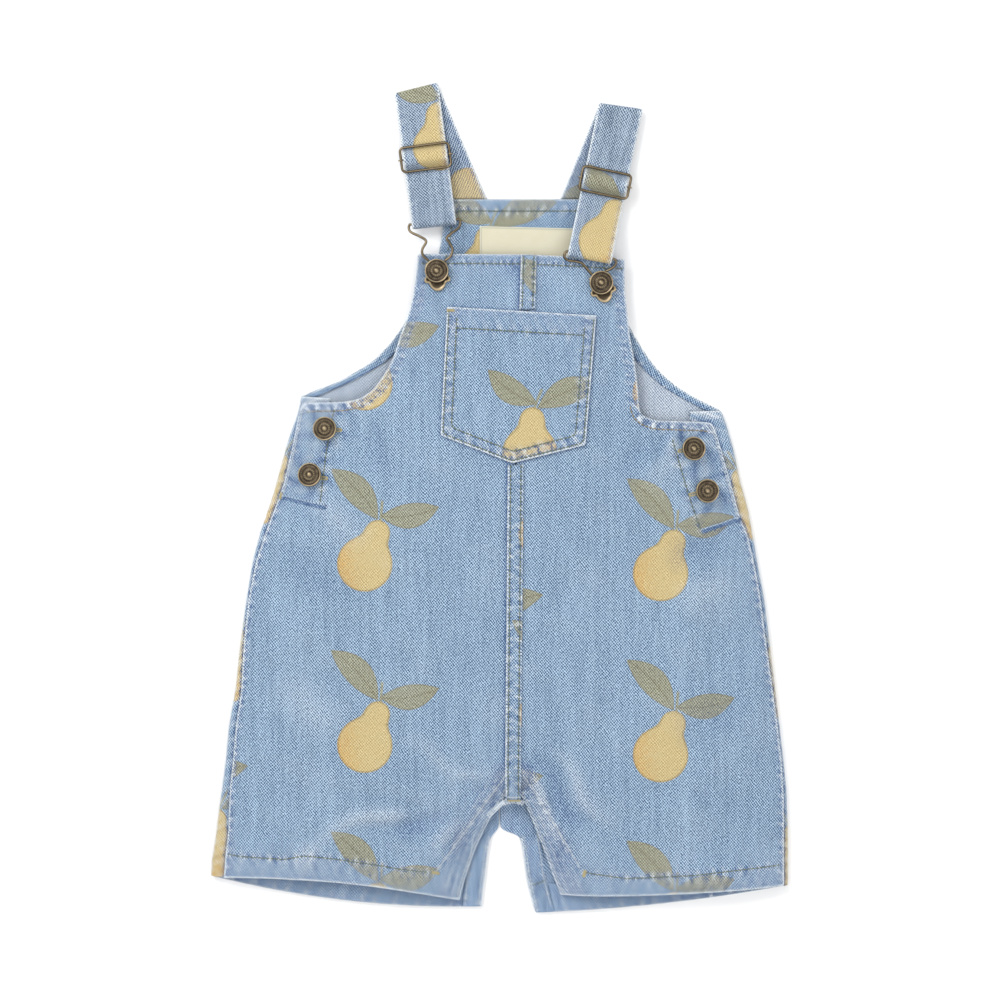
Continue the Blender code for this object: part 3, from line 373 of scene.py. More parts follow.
# The wire of each clip, from one end at the plate round through the strap to the other
CLIP_WIRES = {
    "left": ((-44.5, 149.9, 11.4), (-48.0, 153.0, 11.8), (-48.6, 157.0, 11.6), (-46.2, 162.2, 10.8),
             (-50.0, 165.3, 9.8), (-55.5, 168.0, 8.2), (-57.2, 170.5, 7.2), (-56.8, 173.1, 7.05),
             (-25.0, 176.6, 7.05), (-24.7, 173.8, 7.2), (-26.0, 170.8, 8.2), (-29.8, 167.6, 9.8),
             (-33.3, 164.2, 10.8), (-31.0, 160.5, 11.2), (-29.6, 157.0, 11.7), (-30.8, 152.8, 12.0),
             (-34.5, 149.9, 11.6)),
    "right": ((58.2, 141.2, 11.6), (55.8, 144.0, 12.0), (53.6, 146.6, 12.3), (51.3, 148.5, 12.7),
              (47.8, 149.4, 13.3), (43.4, 149.9, 13.8), (40.9, 152.0, 14.05), (41.3, 154.9, 14.05),
              (43.6, 155.85, 14.05), (70.7, 151.0, 14.05), (72.9, 150.2, 13.9), (73.1, 148.2, 13.3),
              (71.9, 146.2, 12.6), (69.4, 144.4, 12.0), (67.0, 143.4, 11.4)),
}
CLIP_STRAIGHT_RUN = {"left": 7, "right": 8}

ButtonPlace = namedtuple("ButtonPlace", "x y")
BIB_BUTTONS = {"left": ButtonPlace(-39.5, 143.5), "right": ButtonPlace(64.0, 136.0)}
PLATE_TURN = {"left": math.radians(4.0), "right": math.radians(14.5)}
SIDE_BUTTONS = {
    "left_upper": ButtonPlace(-109.5, 44.0),
    "left_lower": ButtonPlace(-119.0, 15.0),
    "right_upper": ButtonPlace(121.5, 31.5),
    "right_lower": ButtonPlace(130.0, 5.0),
}

# One side of the clip's plate, from the top corner down to the tip of its lobe
PLATE_SIDE = ((5.6, 5.3), (6.6, 2.0), (6.4, -2.0), (8.2, -5.0), (7.6, -7.0), (5.4, -7.6),
              (4.2, -10.2), (2.0, -12.2))
PLATE_HOLE_RADIUS = 3.3

# Below here the inner side of the back takes the blue inside-leg cloth, a little darker as painted shade
LEG_INSIDE_Y = -150.0

# Distances from an edge where a sheet has rows of points, close together at the edge itself
NEAR_EDGE = np.array((0.0, 0.15, 0.4, 0.8, 1.3, 1.9, 2.7, 3.6, 4.6, 5.7, 7.0, 8.4, 10.0))


def ease(share):
    """Rise steeply from 0 and level out at 1."""
    return np.sin(0.5 * math.pi * np.clip(share, 0.0, 1.0))


def smooth_step(share):
    """Go from 0 to 1 with level ends."""
    share = np.clip(share, 0.0, 1.0)
    return share * share * (3.0 - 2.0 * share)


def bell(distance, half_width):
    """1 at no distance, and close to 0 from twice the half width on."""
    return np.exp(-(distance / half_width) ** 2)


def uneven_wave(distance, wavelength, seed):
    """A wave from about -1 to 1 whose crests differ in height and spacing."""
    first, second, third = np.random.default_rng(seed).uniform(0.0, 2.0 * math.pi, 3)
    phase = 2.0 * math.pi * distance / wavelength
    wander = 0.9 * np.sin(0.37 * phase + second)
    return (np.sin(phase + first + wander) + 0.5 * np.sin(0.61 * phase + third)
            + 0.35 * np.sin(1.73 * phase + second)) / 1.5


def soft_swell(places, size, seed):
    """Gentle hills and dips about a size across, from about -1 to 1."""
    random = np.random.default_rng(seed)
    total = np.zeros(places.shape[:-1])
    for _ in range(6):
        angle = random.uniform(0.0, math.pi)
        wavelength = size * random.uniform(0.7, 1.6)
        phase = (places[..., 0] * math.cos(angle) + places[..., 1] * math.sin(angle)) / wavelength
        total += np.sin(2.0 * math.pi * phase + random.uniform(0.0, 2.0 * math.pi))
    return total / 3.0


def resampled(line, step):
    """The points of a broken line about a step apart."""
    line = np.asarray(line, float)
    lengths = np.linalg.norm(np.diff(line, axis=0), axis=1)
    travelled = np.concatenate(([0.0], np.cumsum(lengths)))
    count = max(2, int(round(travelled[-1] / step)) + 1)
    wanted = np.linspace(0.0, travelled[-1], count)
    return np.stack([np.interp(wanted, travelled, column) for column in line.T], axis=1)


def measured_from(places, line):
    """How far each place is from a line, and how far along it the nearest point is."""
    nearest = np.full(len(places), np.inf)
    along = np.zeros(len(places))
    travelled = 0.0
    for start, end in zip(line, line[1:]):
        step = end - start
        length = np.linalg.norm(step)
        offset = places - start
        share = np.clip(offset @ step / length ** 2, 0.0, 1.0)
        aside = np.linalg.norm(offset - share[:, None] * step, axis=1)
        closer = aside < nearest
        nearest = np.where(closer, aside, nearest)
        along = np.where(closer, travelled + share * length, along)
        travelled += length
    return nearest, along


def moved_aside(line, distance, towards):
    """A line moved sideways by a distance, to the side where a place lies."""
    line = resampled(line, 3.0)
    direction = np.gradient(line, axis=0)
    direction /= np.linalg.norm(direction, axis=1)[:, None]
    normal = np.stack((-direction[:, 1], direction[:, 0]), axis=1)
    middle = len(line) // 2
    if np.dot(normal[middle], np.asarray(towards) - line[middle]) < 0.0:
        normal = -normal
    return line + normal * distance


def refined(rows, step):
    """A table's columns, read about a step apart and smoothed, and where its own rows fall."""
    values = np.array(rows, float)
    inner = np.linalg.norm(np.diff(values[:, 0:2], axis=0), axis=1)
    outer = np.linalg.norm(np.diff(values[:, 2:4], axis=0), axis=1)
    travelled = np.concatenate(([0.0], np.cumsum(np.maximum(inner, outer))))
    length = travelled[-1]
    near = NEAR_EDGE[NEAR_EDGE < 0.5 * length - 0.3]
    count = max(2, int((length - 2.0 * near[-1]) / step))
    between = np.linspace(near[-1], length - near[-1], count)[1:-1]
    wanted = np.concatenate((near, between, length - near[::-1]))
    even = np.linspace(0.0, length, int(length / 0.5))
    reach = int(3.0 * SMOOTHING / 0.5)
    weights = bell(np.arange(-reach, reach + 1) * 0.5, SMOOTHING * 1.4)
    weights /= weights.sum()
    columns = []
    for column in values.T:
        line = np.interp(even, travelled, column)
        padded = np.concatenate((2.0 * line[0] - line[reach:0:-1], line,
                                 2.0 * line[-1] - line[-2:-reach - 2:-1]))
        columns.append(np.interp(wanted, even, np.convolve(padded, weights, "valid")))
    return np.stack(columns, axis=1), np.searchsorted(wanted, travelled - 0.01)


def spread(width, start, columns):
    """Distances from start to each width, close together at both ends."""
    width = np.asarray(width)[:, None]
    shares = np.linspace(0.0, 1.0, columns)[1:-1]
    first = start + NEAR_EDGE + 0.0 * width
    last = width - NEAR_EDGE[::-1]
    between = first[:, -1:] + shares * (last[:, :1] - first[:, -1:])
    return np.concatenate((first, between, last), axis=1)


def section_widths(fine):
    """How long each section is on the ground plan."""
    return np.linalg.norm(fine[:, 2:4] - fine[:, 0:2], axis=1)


def section_places(fine, insets, bow):
    """The places on the ground plan at distances from the sections' inner ends."""
    inner, outer = fine[:, 0:2], fine[:, 2:4]
    share = insets / section_widths(fine)[:, None]
    places = inner[:, None, :] + share[..., None] * (outer - inner)[:, None, :]
    places[..., 1] += bow[:, None] * 4.0 * share * (1.0 - share)
    return places


def creased(places):
    """The creases' height at each place, wear and painted highlight on ridges, painted shade in troughs."""
    height = np.zeros(places.shape[:-1])
    for crease in CREASES:
        start = np.array((crease.start_x, crease.start_y))
        along = np.array((crease.end_x, crease.end_y)) - start
        length = np.linalg.norm(along)
        offset = places - start
        share = offset @ along / length ** 2
        aside = (offset[..., 0] * along[1] - offset[..., 1] * along[0]) / length
        aside = aside + 0.06 * length * np.sin(2.2 * math.pi * share)
        inside = np.sin(math.pi * np.clip(share, 0.0, 1.0))
        height += crease.rise * inside * bell(aside, crease.half_width)
    height *= CREASE_GAIN
    # Ridges painted paler, partly as wear and partly as painted highlight; troughs painted darker as painted
    # shade
    wear = np.clip(height, 0.0, 2.5) * 0.13
    shade = np.clip(-height, 0.0, 2.5) * 0.24
    return height, wear, shade


# A seam: the line of its fold or stitching, how far the turned cloth reaches in from it, how
# far in its rows of stitches run, how high and wide its puckers are and how often they come, how
# worn its fold is (which also sets a painted shadow beside the fold), and the colour of its thread,
# or None where no stitches show. Bands are puckered strips (distance, half width, strength),
# streaks are pale lines along the seam, and groove is how dark the painted shadow along the line is.
Seam = namedtuple("Seam", "line hem stitches relief reach wave fold_wear thread bands streaks groove",
                  defaults=((), (), 0.0))


# The puckers' height at which their crests are fully pale and their hollows fully dark with painted shade
FULL_RELIEF = 0.35


def seam_relief(places, seams):
    """What seams add to a cloth's height, and their wear, painted highlight and painted shade."""
    flat = places.reshape(-1, 2)
    height = np.zeros(len(flat))
    wear = np.zeros(len(flat))
    shade = np.zeros(len(flat))
    for number, seam in enumerate(seams):
        line = resampled(seam.line, 4.0)
        margin = max(seam.hem, max(seam.stitches, default=0.0)) + 3.0 * seam.reach
        close = np.all((flat > line.min(axis=0) - margin) & (flat < line.max(axis=0) + margin), axis=1)
        away, along = measured_from(flat[close], line)
        wave = uneven_wave(along + 0.35 * away, seam.wave, number + 11)
        cross = uneven_wave(along - 0.5 * away, 0.57 * seam.wave, number + 57)
        lift = np.zeros(len(away))
        puckered = min(1.0, seam.relief / FULL_RELIEF)
        # A worn pale fold, with painted shadow a little way inside it
        rim = min(1.0, seam.fold_wear)
        pale = rim * bell(away, 1.0) * (0.85 + 0.2 * cross)
        deep_blue_and_shade = 0.45 * rim * bell(away - 2.3, 0.8) * (0.8 + 0.4 * cross)
        for distance in seam.stitches:
            # Pucker crests paler with wear and painted highlight, hollows darker with deeper blue and painted
            # shade, and painted shade in each stitch groove
            row = bell(away - distance, 0.8)
            around = bell(away - distance, seam.reach)
            ripple = around * (0.8 * wave + 0.35 * cross)
            lift += seam.relief * ripple - 0.3 * row
            pale += 0.85 * puckered * np.clip(ripple - 0.08, 0.0, 1.0)
            deep_blue_and_shade += 1.1 * puckered * np.clip(-ripple - 0.05, 0.0, 1.0) + 0.50 * row
        # Puckered strips, painted the same way
        for middle, half_width, strength in seam.bands:
            ripple = bell(away - middle, half_width) * (0.8 * wave + 0.35 * cross)
            lift += 0.4 * strength * ripple
            pale += 0.5 * strength * np.clip(ripple - 0.1, 0.0, 1.0)
            deep_blue_and_shade += 1.2 * strength * np.clip(-ripple, 0.0, 1.0)
        for distance in seam.streaks:
            uneven = uneven_wave(along + 7.0 * distance, 24.0, number + 83)
            showing = np.clip(0.75 + 0.5 * uneven, 0.0, 1.0)
            pale += 0.20 * showing * bell(away - distance, 0.7)
            deep_blue_and_shade += 0.60 * showing * bell(away - distance - 1.5, 0.8)
        # Painted shadow along the line itself
        deep_blue_and_shade += seam.groove * bell(away, 0.4 * seam.reach)
        if seam.hem:
            inside = 1.0 - smooth_step((away - seam.hem + 1.0) / 2.0)
            lift += inside * 0.45
            pale += 0.05 * inside * (1.0 + cross)
            deep_blue_and_shade += 0.20 * inside * (1.0 - 0.7 * cross)
        height[close] += lift
        wear[close] += pale
        shade[close] += deep_blue_and_shade
    shape = places.shape[:-1]
    return height.reshape(shape), wear.reshape(shape), shade.reshape(shape)


def grid_normals(points):
    """The normals of a grid of points."""
    down = np.gradient(points, axis=0)
    across = np.gradient(points, axis=1)
    normals = np.cross(down, across)
    return normals / np.maximum(np.linalg.norm(normals, axis=2), 1e-9)[..., None]


def edge_distance(points):
    """How far each point of a grid is from its nearest edge, along the grid."""
    def from_ends(lengths, axis):
        travelled = np.cumsum(lengths, axis=axis)
        total = travelled.take([-1], axis=axis)
        padding = [(0, 0), (0, 0)]
        padding[axis] = (1, 0)
        travelled = np.pad(travelled, padding)
        return np.minimum(travelled, total - travelled)

    down = from_ends(np.linalg.norm(np.diff(points, axis=0), axis=2), 0)
    across = from_ends(np.linalg.norm(np.diff(points, axis=1), axis=2), 1)
    return np.minimum(down, across)


def shell_parts(outer, thickness, facing, wear, shade, uv):
    """A closed wall under a grid of points: its vertices, faces and values for each vertex."""
    if np.mean(grid_normals(outer)[..., 2]) * facing < 0.0:
        outer, wear, shade, uv = (values[:, ::-1] for values in (outer, wear, shade, uv))
    normals = grid_normals(outer)
    radius = 0.5 * thickness
    short = np.clip(radius - edge_distance(outer), 0.0, radius)
    drop = (radius - np.sqrt(radius ** 2 - short ** 2))[..., None]
    upper = outer - normals * drop
    lower = outer - normals * (thickness - drop)
    rows, columns = outer.shape[:2]
    top = np.arange(rows * columns).reshape(rows, columns)
    under = top.copy()
    under[1:-1, 1:-1] = rows * columns + np.arange((rows - 2) * (columns - 2)).reshape(rows - 2, columns - 2)

    def quads(index, turned):
        corners = (index[:-1, :-1], index[1:, :-1], index[1:, 1:], index[:-1, 1:])
        corners = corners[::-1] if turned else corners
        return np.stack([corner.ravel() for corner in corners], axis=1)

    def both(values):
        inner = values[1:-1, 1:-1].reshape(-1, *values.shape[2:])
        return np.concatenate((values.reshape(-1, *values.shape[2:]), inner))

    vertices = np.concatenate((upper.reshape(-1, 3), lower[1:-1, 1:-1].reshape(-1, 3)))
    faces = np.concatenate((quads(top, False), quads(under, True)))
    inside = np.repeat((0, 1), len(faces) // 2)
    return vertices, faces, inside, both(wear), both(shade), both(uv)


def linked_object(name, vertices, faces, materials):
    """A smooth object in the scene from vertices in millimetres."""
    mesh = bpy.data.meshes.new(name)
    mesh.from_pydata((np.asarray(vertices) * MM).tolist(), [], faces)
    for material in materials:
        mesh.materials.append(material)
    mesh.shade_smooth()
    piece = bpy.data.objects.new(name, mesh)
    bpy.context.scene.collection.objects.link(piece)
    return piece


def add_cloth_uv(mesh, uv):
    """Say where each vertex lies on the cloth."""
    loops = np.empty(len(mesh.loops), np.int32)
    mesh.loops.foreach_get("vertex_index", loops)
    mesh.uv_layers.new(name="cloth").data.foreach_set("uv", (uv[loops] * MM).ravel())


def add_values(mesh, **layers):
    """Give each vertex named values from 0 to 1 for the materials."""
    for label, values in layers.items():
        layer = mesh.attributes.new(label, "FLOAT", "POINT")
        layer.data.foreach_set("value", np.clip(values, 0.0, 1.0))


def ring_faces(before, after, flipped=False):
    """The quads between rows of points and the rows after them, each row closed to a ring."""
    corners = [before, np.roll(before, -1, axis=1), np.roll(after, -1, axis=1), after]
    if flipped:
        corners[1], corners[3] = corners[3], corners[1]
    return np.stack(corners, axis=-1).reshape(-1, 4).tolist()


def cloth_object(name, parts, materials):
    """One piece of cloth from one or more closed walls, its right side in the first material."""
    vertices, faces, inside, wear, shade, uv = [], [], [], [], [], []
    start = 0
    for part in parts:
        vertices.append(part[0])
        faces.append(part[1] + start)
        start += len(part[0])
        for collected, values in zip((inside, wear, shade, uv), part[2:]):
            collected.append(values)
    vertices, faces, inside, wear, shade, uv = (
        np.concatenate(values) for values in (vertices, faces, inside, wear, shade, uv))
    piece = linked_object(name, vertices, faces.tolist(), materials)
    indices = np.minimum(inside, len(materials) - 1).astype(np.int32)
    piece.data.polygons.foreach_set("material_index", indices)
    add_cloth_uv(piece.data, uv)
    add_values(piece.data, wear=wear, shade=shade)
    piece.data.update()
    return piece


def finish_piece(piece, nodes):
    """Tie a piece to the garment's body and hide the solids that it stands for."""
    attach(piece, "root")
    if nodes:
        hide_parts(*nodes)


def surface_tree(pieces):
    """The faces of some pieces, to lay other pieces and stitches on."""
    vertices = []
    polygons = []
    for piece in pieces:
        start = len(vertices)
        vertices.extend(vertex.co / MM for vertex in piece.data.vertices)
        polygons.extend([start + index for index in polygon.vertices] for polygon in piece.data.polygons)
    return BVHTree.FromPolygons(vertices, polygons)


def height_on(tree, x, y, missing=None):
    """The highest point of a surface at a place."""
    hit = tree.ray_cast(Vector((x, y, 100.0)), Vector((0.0, 0.0, -1.0)))[0]
    return missing if hit is None else hit.z


def laid_on(tree, places, passes):
    """The heights of a surface under a grid of places, smoothed a number of times."""
    heights = np.array([[height_on(tree, x, y, np.nan) for x, y in row] for row in places])
    level = np.nanmean(heights)
    heights = np.where(np.isnan(heights), level, heights)
    for _ in range(passes):
        padded = np.pad(heights, 1, mode="edge")
        heights = 0.2 * (padded[1:-1, 1:-1] + padded[:-2, 1:-1] + padded[2:, 1:-1]
                         + padded[1:-1, :-2] + padded[1:-1, 2:])
    return heights


def smooth_line(points, cyclic, steps):
    """A smooth curve through points, in steps between each pair."""
    points = np.asarray(points, float)
    count = len(points)
    result = []
    for index in range(count if cyclic else count - 1):
        if cyclic:
            before, start, end, after = (points[(index + offset) % count] for offset in (-1, 0, 1, 2))
        else:
            before, start = points[max(index - 1, 0)], points[index]
            end, after = points[index + 1], points[min(index + 2, count - 1)]
        for step in range(steps):
            share = step / steps
            result.append(0.5 * (2.0 * start + (end - before) * share
                                 + (2.0 * before - 5.0 * start + 4.0 * end - after) * share ** 2
                                 + (3.0 * start - before - 3.0 * end + after) * share ** 3))
    if not cyclic:
        result.append(points[-1])
    return np.array(result)


def tube_parts(line, radius, sides, cyclic):
    """A round tube along a line: its vertices, faces, and wear with a painted highlight along its top."""
    line = np.asarray(line, float)
    if cyclic:
        tangent = np.roll(line, -1, axis=0) - np.roll(line, 1, axis=0)
    else:
        tangent = np.gradient(line, axis=0)
    tangent /= np.linalg.norm(tangent, axis=1)[:, None]
    aside = np.cross(tangent, np.array((0.0, 0.0, 1.0)))
    aside /= np.maximum(np.linalg.norm(aside, axis=1), 1e-6)[:, None]
    up = np.cross(aside, tangent)
    angles = np.arange(sides) * 2.0 * math.pi / sides
    circle = np.cos(angles)[None, :, None] * aside[:, None] + np.sin(angles)[None, :, None] * up[:, None]
    radii = np.broadcast_to(np.asarray(radius, float), (len(line),))[:, None, None]
    vertices = (line[:, None] + radii * circle).reshape(-1, 3)
    # The top of the wire is lighter: partly worn brass, partly a painted highlight
    rubbed = np.tile(0.03 + 0.50 * np.clip(np.sin(angles), 0.0, 1.0) ** 8, len(line))
    index = np.arange(len(line) * sides).reshape(len(line), sides)
    after = np.roll(index, -1, axis=0) if cyclic else index[1:]
    before = index if cyclic else index[:-1]
    faces = ring_faces(before, after)
    if not cyclic:
        faces.append(index[0].tolist()[::-1])
        faces.append(index[-1].tolist())
    return vertices, faces, rubbed


# Materials

class Shade:
    """A material under construction: each method adds one shader node and returns its result."""

    def __init__(self, name):
        self.material = bpy.data.materials.new(name)
        self.material.use_nodes = True
        self.tree = self.material.node_tree
        self.surface = self.tree.nodes["Principled BSDF"]

    def add(self, kind, output=0, inputs=(), **settings):
        """Add a node of a kind, set its properties, and fill or link its inputs."""
        node = self.tree.nodes.new(kind)
        for label, value in settings.items():
            setattr(node, label, value)
        for socket, value in dict(inputs).items():
            self.fill(node.inputs[socket], value)
        return node.outputs[output]

    def fill(self, socket, value):
        """Link a result to a socket, or set the socket to a plain value."""
        if isinstance(value, bpy.types.NodeSocket):
            self.tree.links.new(value, socket)
        elif isinstance(value, (tuple, list)) and len(value) == 3 and socket.type == "RGBA":
            socket.default_value = (*value, 1.0)
        else:
            socket.default_value = value

    def math(self, operation, first, second=0.0, third=0.0, clamp=False):
        """A Math node."""
        return self.add("ShaderNodeMath", inputs={0: first, 1: second, 2: third}, operation=operation,
                        use_clamp=clamp)

    def sum(self, *terms):
        """All terms added up."""
        total = terms[0]
        for term in terms[1:]:
            total = self.math("ADD", total, term)
        return total

    def times(self, first, second):
        """Two values multiplied."""
        return self.math("MULTIPLY", first, second)

    def scaled(self, value, factor, offset):
        """A value times a factor, plus an offset."""
        return self.math("MULTIPLY_ADD", value, factor, offset)

    def vector(self, x, y, z=0.0):
        """A vector from its parts."""
        return self.add("ShaderNodeCombineXYZ", inputs={0: x, 1: y, 2: z})

    def noise(self, vector, scale, detail=2.0, roughness=0.5):
        """Smooth noise from 0 to 1."""
        return self.add("ShaderNodeTexNoise", inputs={"Vector": vector, "Scale": scale, "Detail": detail,
                                                      "Roughness": roughness})

    def mixed(self, share, first, second):
        """A colour between two colours."""
        return self.add("ShaderNodeMix", output=2, inputs={0: share, 6: first, 7: second}, data_type="RGBA")

    def value(self, name):
        """A value that the mesh holds for each point."""
        return self.add("ShaderNodeAttribute", output=2, attribute_name=name)

    def cloth_place(self):
        """Where a point lies on the cloth, across and along, in millimetres."""
        parts = self.tree.nodes.new("ShaderNodeSeparateXYZ")
        self.fill(parts.inputs[0], self.add("ShaderNodeUVMap", uv_map="cloth"))
        return [self.times(parts.outputs[axis], 1000.0) for axis in (0, 1)]

    def stretched_noise(self, x, y, depth, detail, roughness, reach=1.0):
        """Noise from minus reach to reach, at places that are already scaled."""
        noise = self.noise(self.vector(x, y, depth), 1.0, detail, roughness)
        return self.scaled(noise, 2.0 * reach, -reach)

    def bump(self, height, strength, distance):
        """A normal that is roughened by a height."""
        inputs = {"Height": height, "Strength": strength, "Distance": distance}
        return self.add("ShaderNodeBump", inputs=inputs)

    def set(self, **values):
        """Fill sockets of the surface shader by name, with underscores for blanks."""
        for label, value in values.items():
            self.fill(self.surface.inputs[label.replace("_", " ")], value)
        return self.material


# The generic print: pears with two plain leaves, in columns that drop by half a repeat
PRINT_COLUMN = 122.0
PRINT_DROP = 114.0
PRINT_SCALE = 1.16
PRINT_LEAN = (math.radians(-9.0), math.radians(17.0))
PEAR_YELLOW = ((0.34, 0.25, 0.10), (0.70, 0.57, 0.29))
PEAR_OCHRE = ((0.36, 0.18, 0.04), (0.70, 0.45, 0.14))
LEAF_SAGE = ((0.09, 0.09, 0.055), (0.46, 0.44, 0.28))
PRINT_LINE = (0.10, 0.08, 0.045)
Leaf = namedtuple("Leaf", "angle length half_width")
PRINT_LEAVES = (Leaf(math.radians(30.0), 38.0, 7.5), Leaf(math.radians(154.0), 33.0, 7.0))
LEAF_ROOT = 17.0
VEIN_SPACING = 4.2


def pear_print(shade, x, y, ground, weave):
    """The pear print over a ground colour."""
    column = shade.math("FLOOR", shade.times(x, 1.0 / PRINT_COLUMN))
    odd = shade.math("FLOORED_MODULO", column, 2.0)
    tile_x = shade.scaled(shade.math("FRACT", shade.times(x, 1.0 / PRINT_COLUMN)), PRINT_COLUMN,
                          -0.5 * PRINT_COLUMN)
    tile_x = shade.times(tile_x, shade.scaled(odd, -2.0, 1.0))
    dropped = shade.sum(shade.times(y, 1.0 / PRINT_DROP), shade.times(odd, 0.5))
    tile_y = shade.scaled(shade.math("FRACT", dropped), PRINT_DROP, -0.5 * PRINT_DROP)
    cosines = [math.cos(angle) / PRINT_SCALE for angle in PRINT_LEAN]
    sines = [math.sin(angle) / PRINT_SCALE for angle in PRINT_LEAN]
    cosine = shade.scaled(odd, cosines[1] - cosines[0], cosines[0])
    sine = shade.scaled(odd, sines[1] - sines[0], sines[0])
    local_x = shade.sum(shade.times(tile_x, cosine), shade.times(tile_y, sine))
    local_y = shade.math("SUBTRACT", shade.times(tile_y, cosine), shade.times(tile_x, sine))
    rough_edge = shade.scaled(shade.noise(shade.vector(x, y), 0.9, 2.0), 1.6, -0.8)

    def length(dx, dy):
        return shade.math("SQRT", shade.sum(shade.times(dx, dx), shade.times(dy, dy)))

    def shifted(value, offset):
        return shade.math("SUBTRACT", value, offset)

    def band(value, middle, half_width):
        off = shade.math("ABSOLUTE", shifted(value, middle))
        return shade.math("MULTIPLY_ADD", off, -1.0 / half_width, 1.0, clamp=True)

    body = shifted(length(shifted(local_x, 0.6), shifted(local_y, -9.0)), 15.0)
    neck = shifted(length(shifted(local_x, -1.0), shifted(local_y, 9.5)), 6.6)
    outline = shade.sum(shade.math("SMOOTH_MIN", body, neck, 11.0), shade.times(rough_edge, 0.35))
    pear = shade.math("MULTIPLY_ADD", outline, -2.2, 0.5, clamp=True)
    lines = band(outline, -0.4, 0.75)

    lean = shade.math("ABSOLUTE", shifted(shifted(local_x, -1.0), shade.times(shifted(local_y, 15.0), 0.22)))
    stem_ends = shade.math("MINIMUM", shifted(local_y, 14.0), shade.scaled(local_y, -1.0, 27.0))
    stem = shade.math("MINIMUM", shade.scaled(lean, -2.0, 2.0), stem_ends, clamp=True)

    leaves = stem
    for leaf in PRINT_LEAVES:
        cosine, sine = math.cos(leaf.angle), math.sin(leaf.angle)
        rise = shifted(local_y, LEAF_ROOT)
        along = shade.sum(shade.times(local_x, cosine), shade.times(rise, sine))
        aside = shade.sum(shade.times(rise, cosine), shade.times(local_x, -sine))
        share = shade.math("MULTIPLY", along, 1.0 / leaf.length, clamp=True)
        bulge = shade.times(shade.times(share, shade.scaled(share, -1.0, 1.0)), 4.0 * leaf.half_width)
        bend = shade.scaled(bulge, 0.35, -1.2)
        off_middle = shade.math("ABSOLUTE", shade.math("SUBTRACT", aside, bend))
        inside = shade.sum(bulge, shade.scaled(off_middle, -1.0, 0.0), shade.times(rough_edge, 0.5))
        blade = shade.math("MULTIPLY", inside, 2.0, clamp=True)
        leaves = shade.math("MAXIMUM", leaves, blade)
        slanted = shade.sum(along, shade.times(off_middle, -1.15))
        side_veins = shade.math("SINE", shade.times(slanted, 2.0 * math.pi / VEIN_SPACING))
        side_veins = shade.math("MULTIPLY_ADD", side_veins, 2.2, -1.45, clamp=True)
        veins = shade.math("MAXIMUM", band(off_middle, 0.0, 0.8), shade.times(side_veins, 0.75))
        lines = shade.math("MAXIMUM", lines, shade.times(veins, blade))
        lines = shade.math("MAXIMUM", lines, band(inside, 0.45, 0.6))

    mottle = shade.noise(shade.vector(x, y), 0.35, 4.0, 0.7)
    flank = shade.sum(shade.scaled(local_x, 0.045, -0.2), shade.scaled(mottle, 1.6, -0.8),
                      shade.scaled(local_y, -0.02, -0.1))
    flank = shade.math("MULTIPLY", flank, 1.0, clamp=True)
    raised = shade.math("MULTIPLY_ADD", weave, 0.6, 0.5, clamp=True)
    low, high = (shade.mixed(flank, PEAR_YELLOW[level], PEAR_OCHRE[level]) for level in (0, 1))
    fruit = shade.mixed(raised, low, high)
    leaf_colour = shade.mixed(raised, *LEAF_SAGE)
    ground = shade.mixed(shade.times(leaves, 0.86), ground, leaf_colour)
    ground = shade.mixed(shade.times(pear, 0.95), ground, fruit)
    faded = shade.times(lines, shade.math("MULTIPLY_ADD", weave, -0.5, 0.5, clamp=True))
    return shade.mixed(faded, ground, PRINT_LINE)


# Washed denim
TWILL_PITCH = 1.27
TWILL_ACROSS = (0.77, 0.64)
PICK_PITCH = 1.42
PICKS_ACROSS = (0.70, -0.71)
DenimLook = namedtuple("DenimLook", "dark light level contrast streaks printed")
BLEACHED_AND_HIGHLIGHT = (0.67, 0.73, 0.78)
INDIGO_AND_SHADE = (0.035, 0.078, 0.19)

LOOKS = {
    "front": DenimLook((0.026, 0.064, 0.14), (0.45, 0.60, 0.755), 0.45, 1.0, 1.2, True),
    "strap": DenimLook((0.036, 0.068, 0.12), (0.43, 0.52, 0.63), 0.46, 1.2, 3.2, True),
    "facing": DenimLook((0.022, 0.06, 0.14), (0.46, 0.62, 0.78), 0.38, 1.1, 1.6, False),
    "wrong_side": DenimLook((0.12, 0.17, 0.26), (0.64, 0.70, 0.77), 0.50, 0.85, 1.2, False),
    # Inside the legs: blue cloth that is a little darker than the front, as painted shade
    "deep_inside": DenimLook((0.028, 0.065, 0.15), (0.46, 0.61, 0.79), 0.40, 1.3, 3.0, False),
}


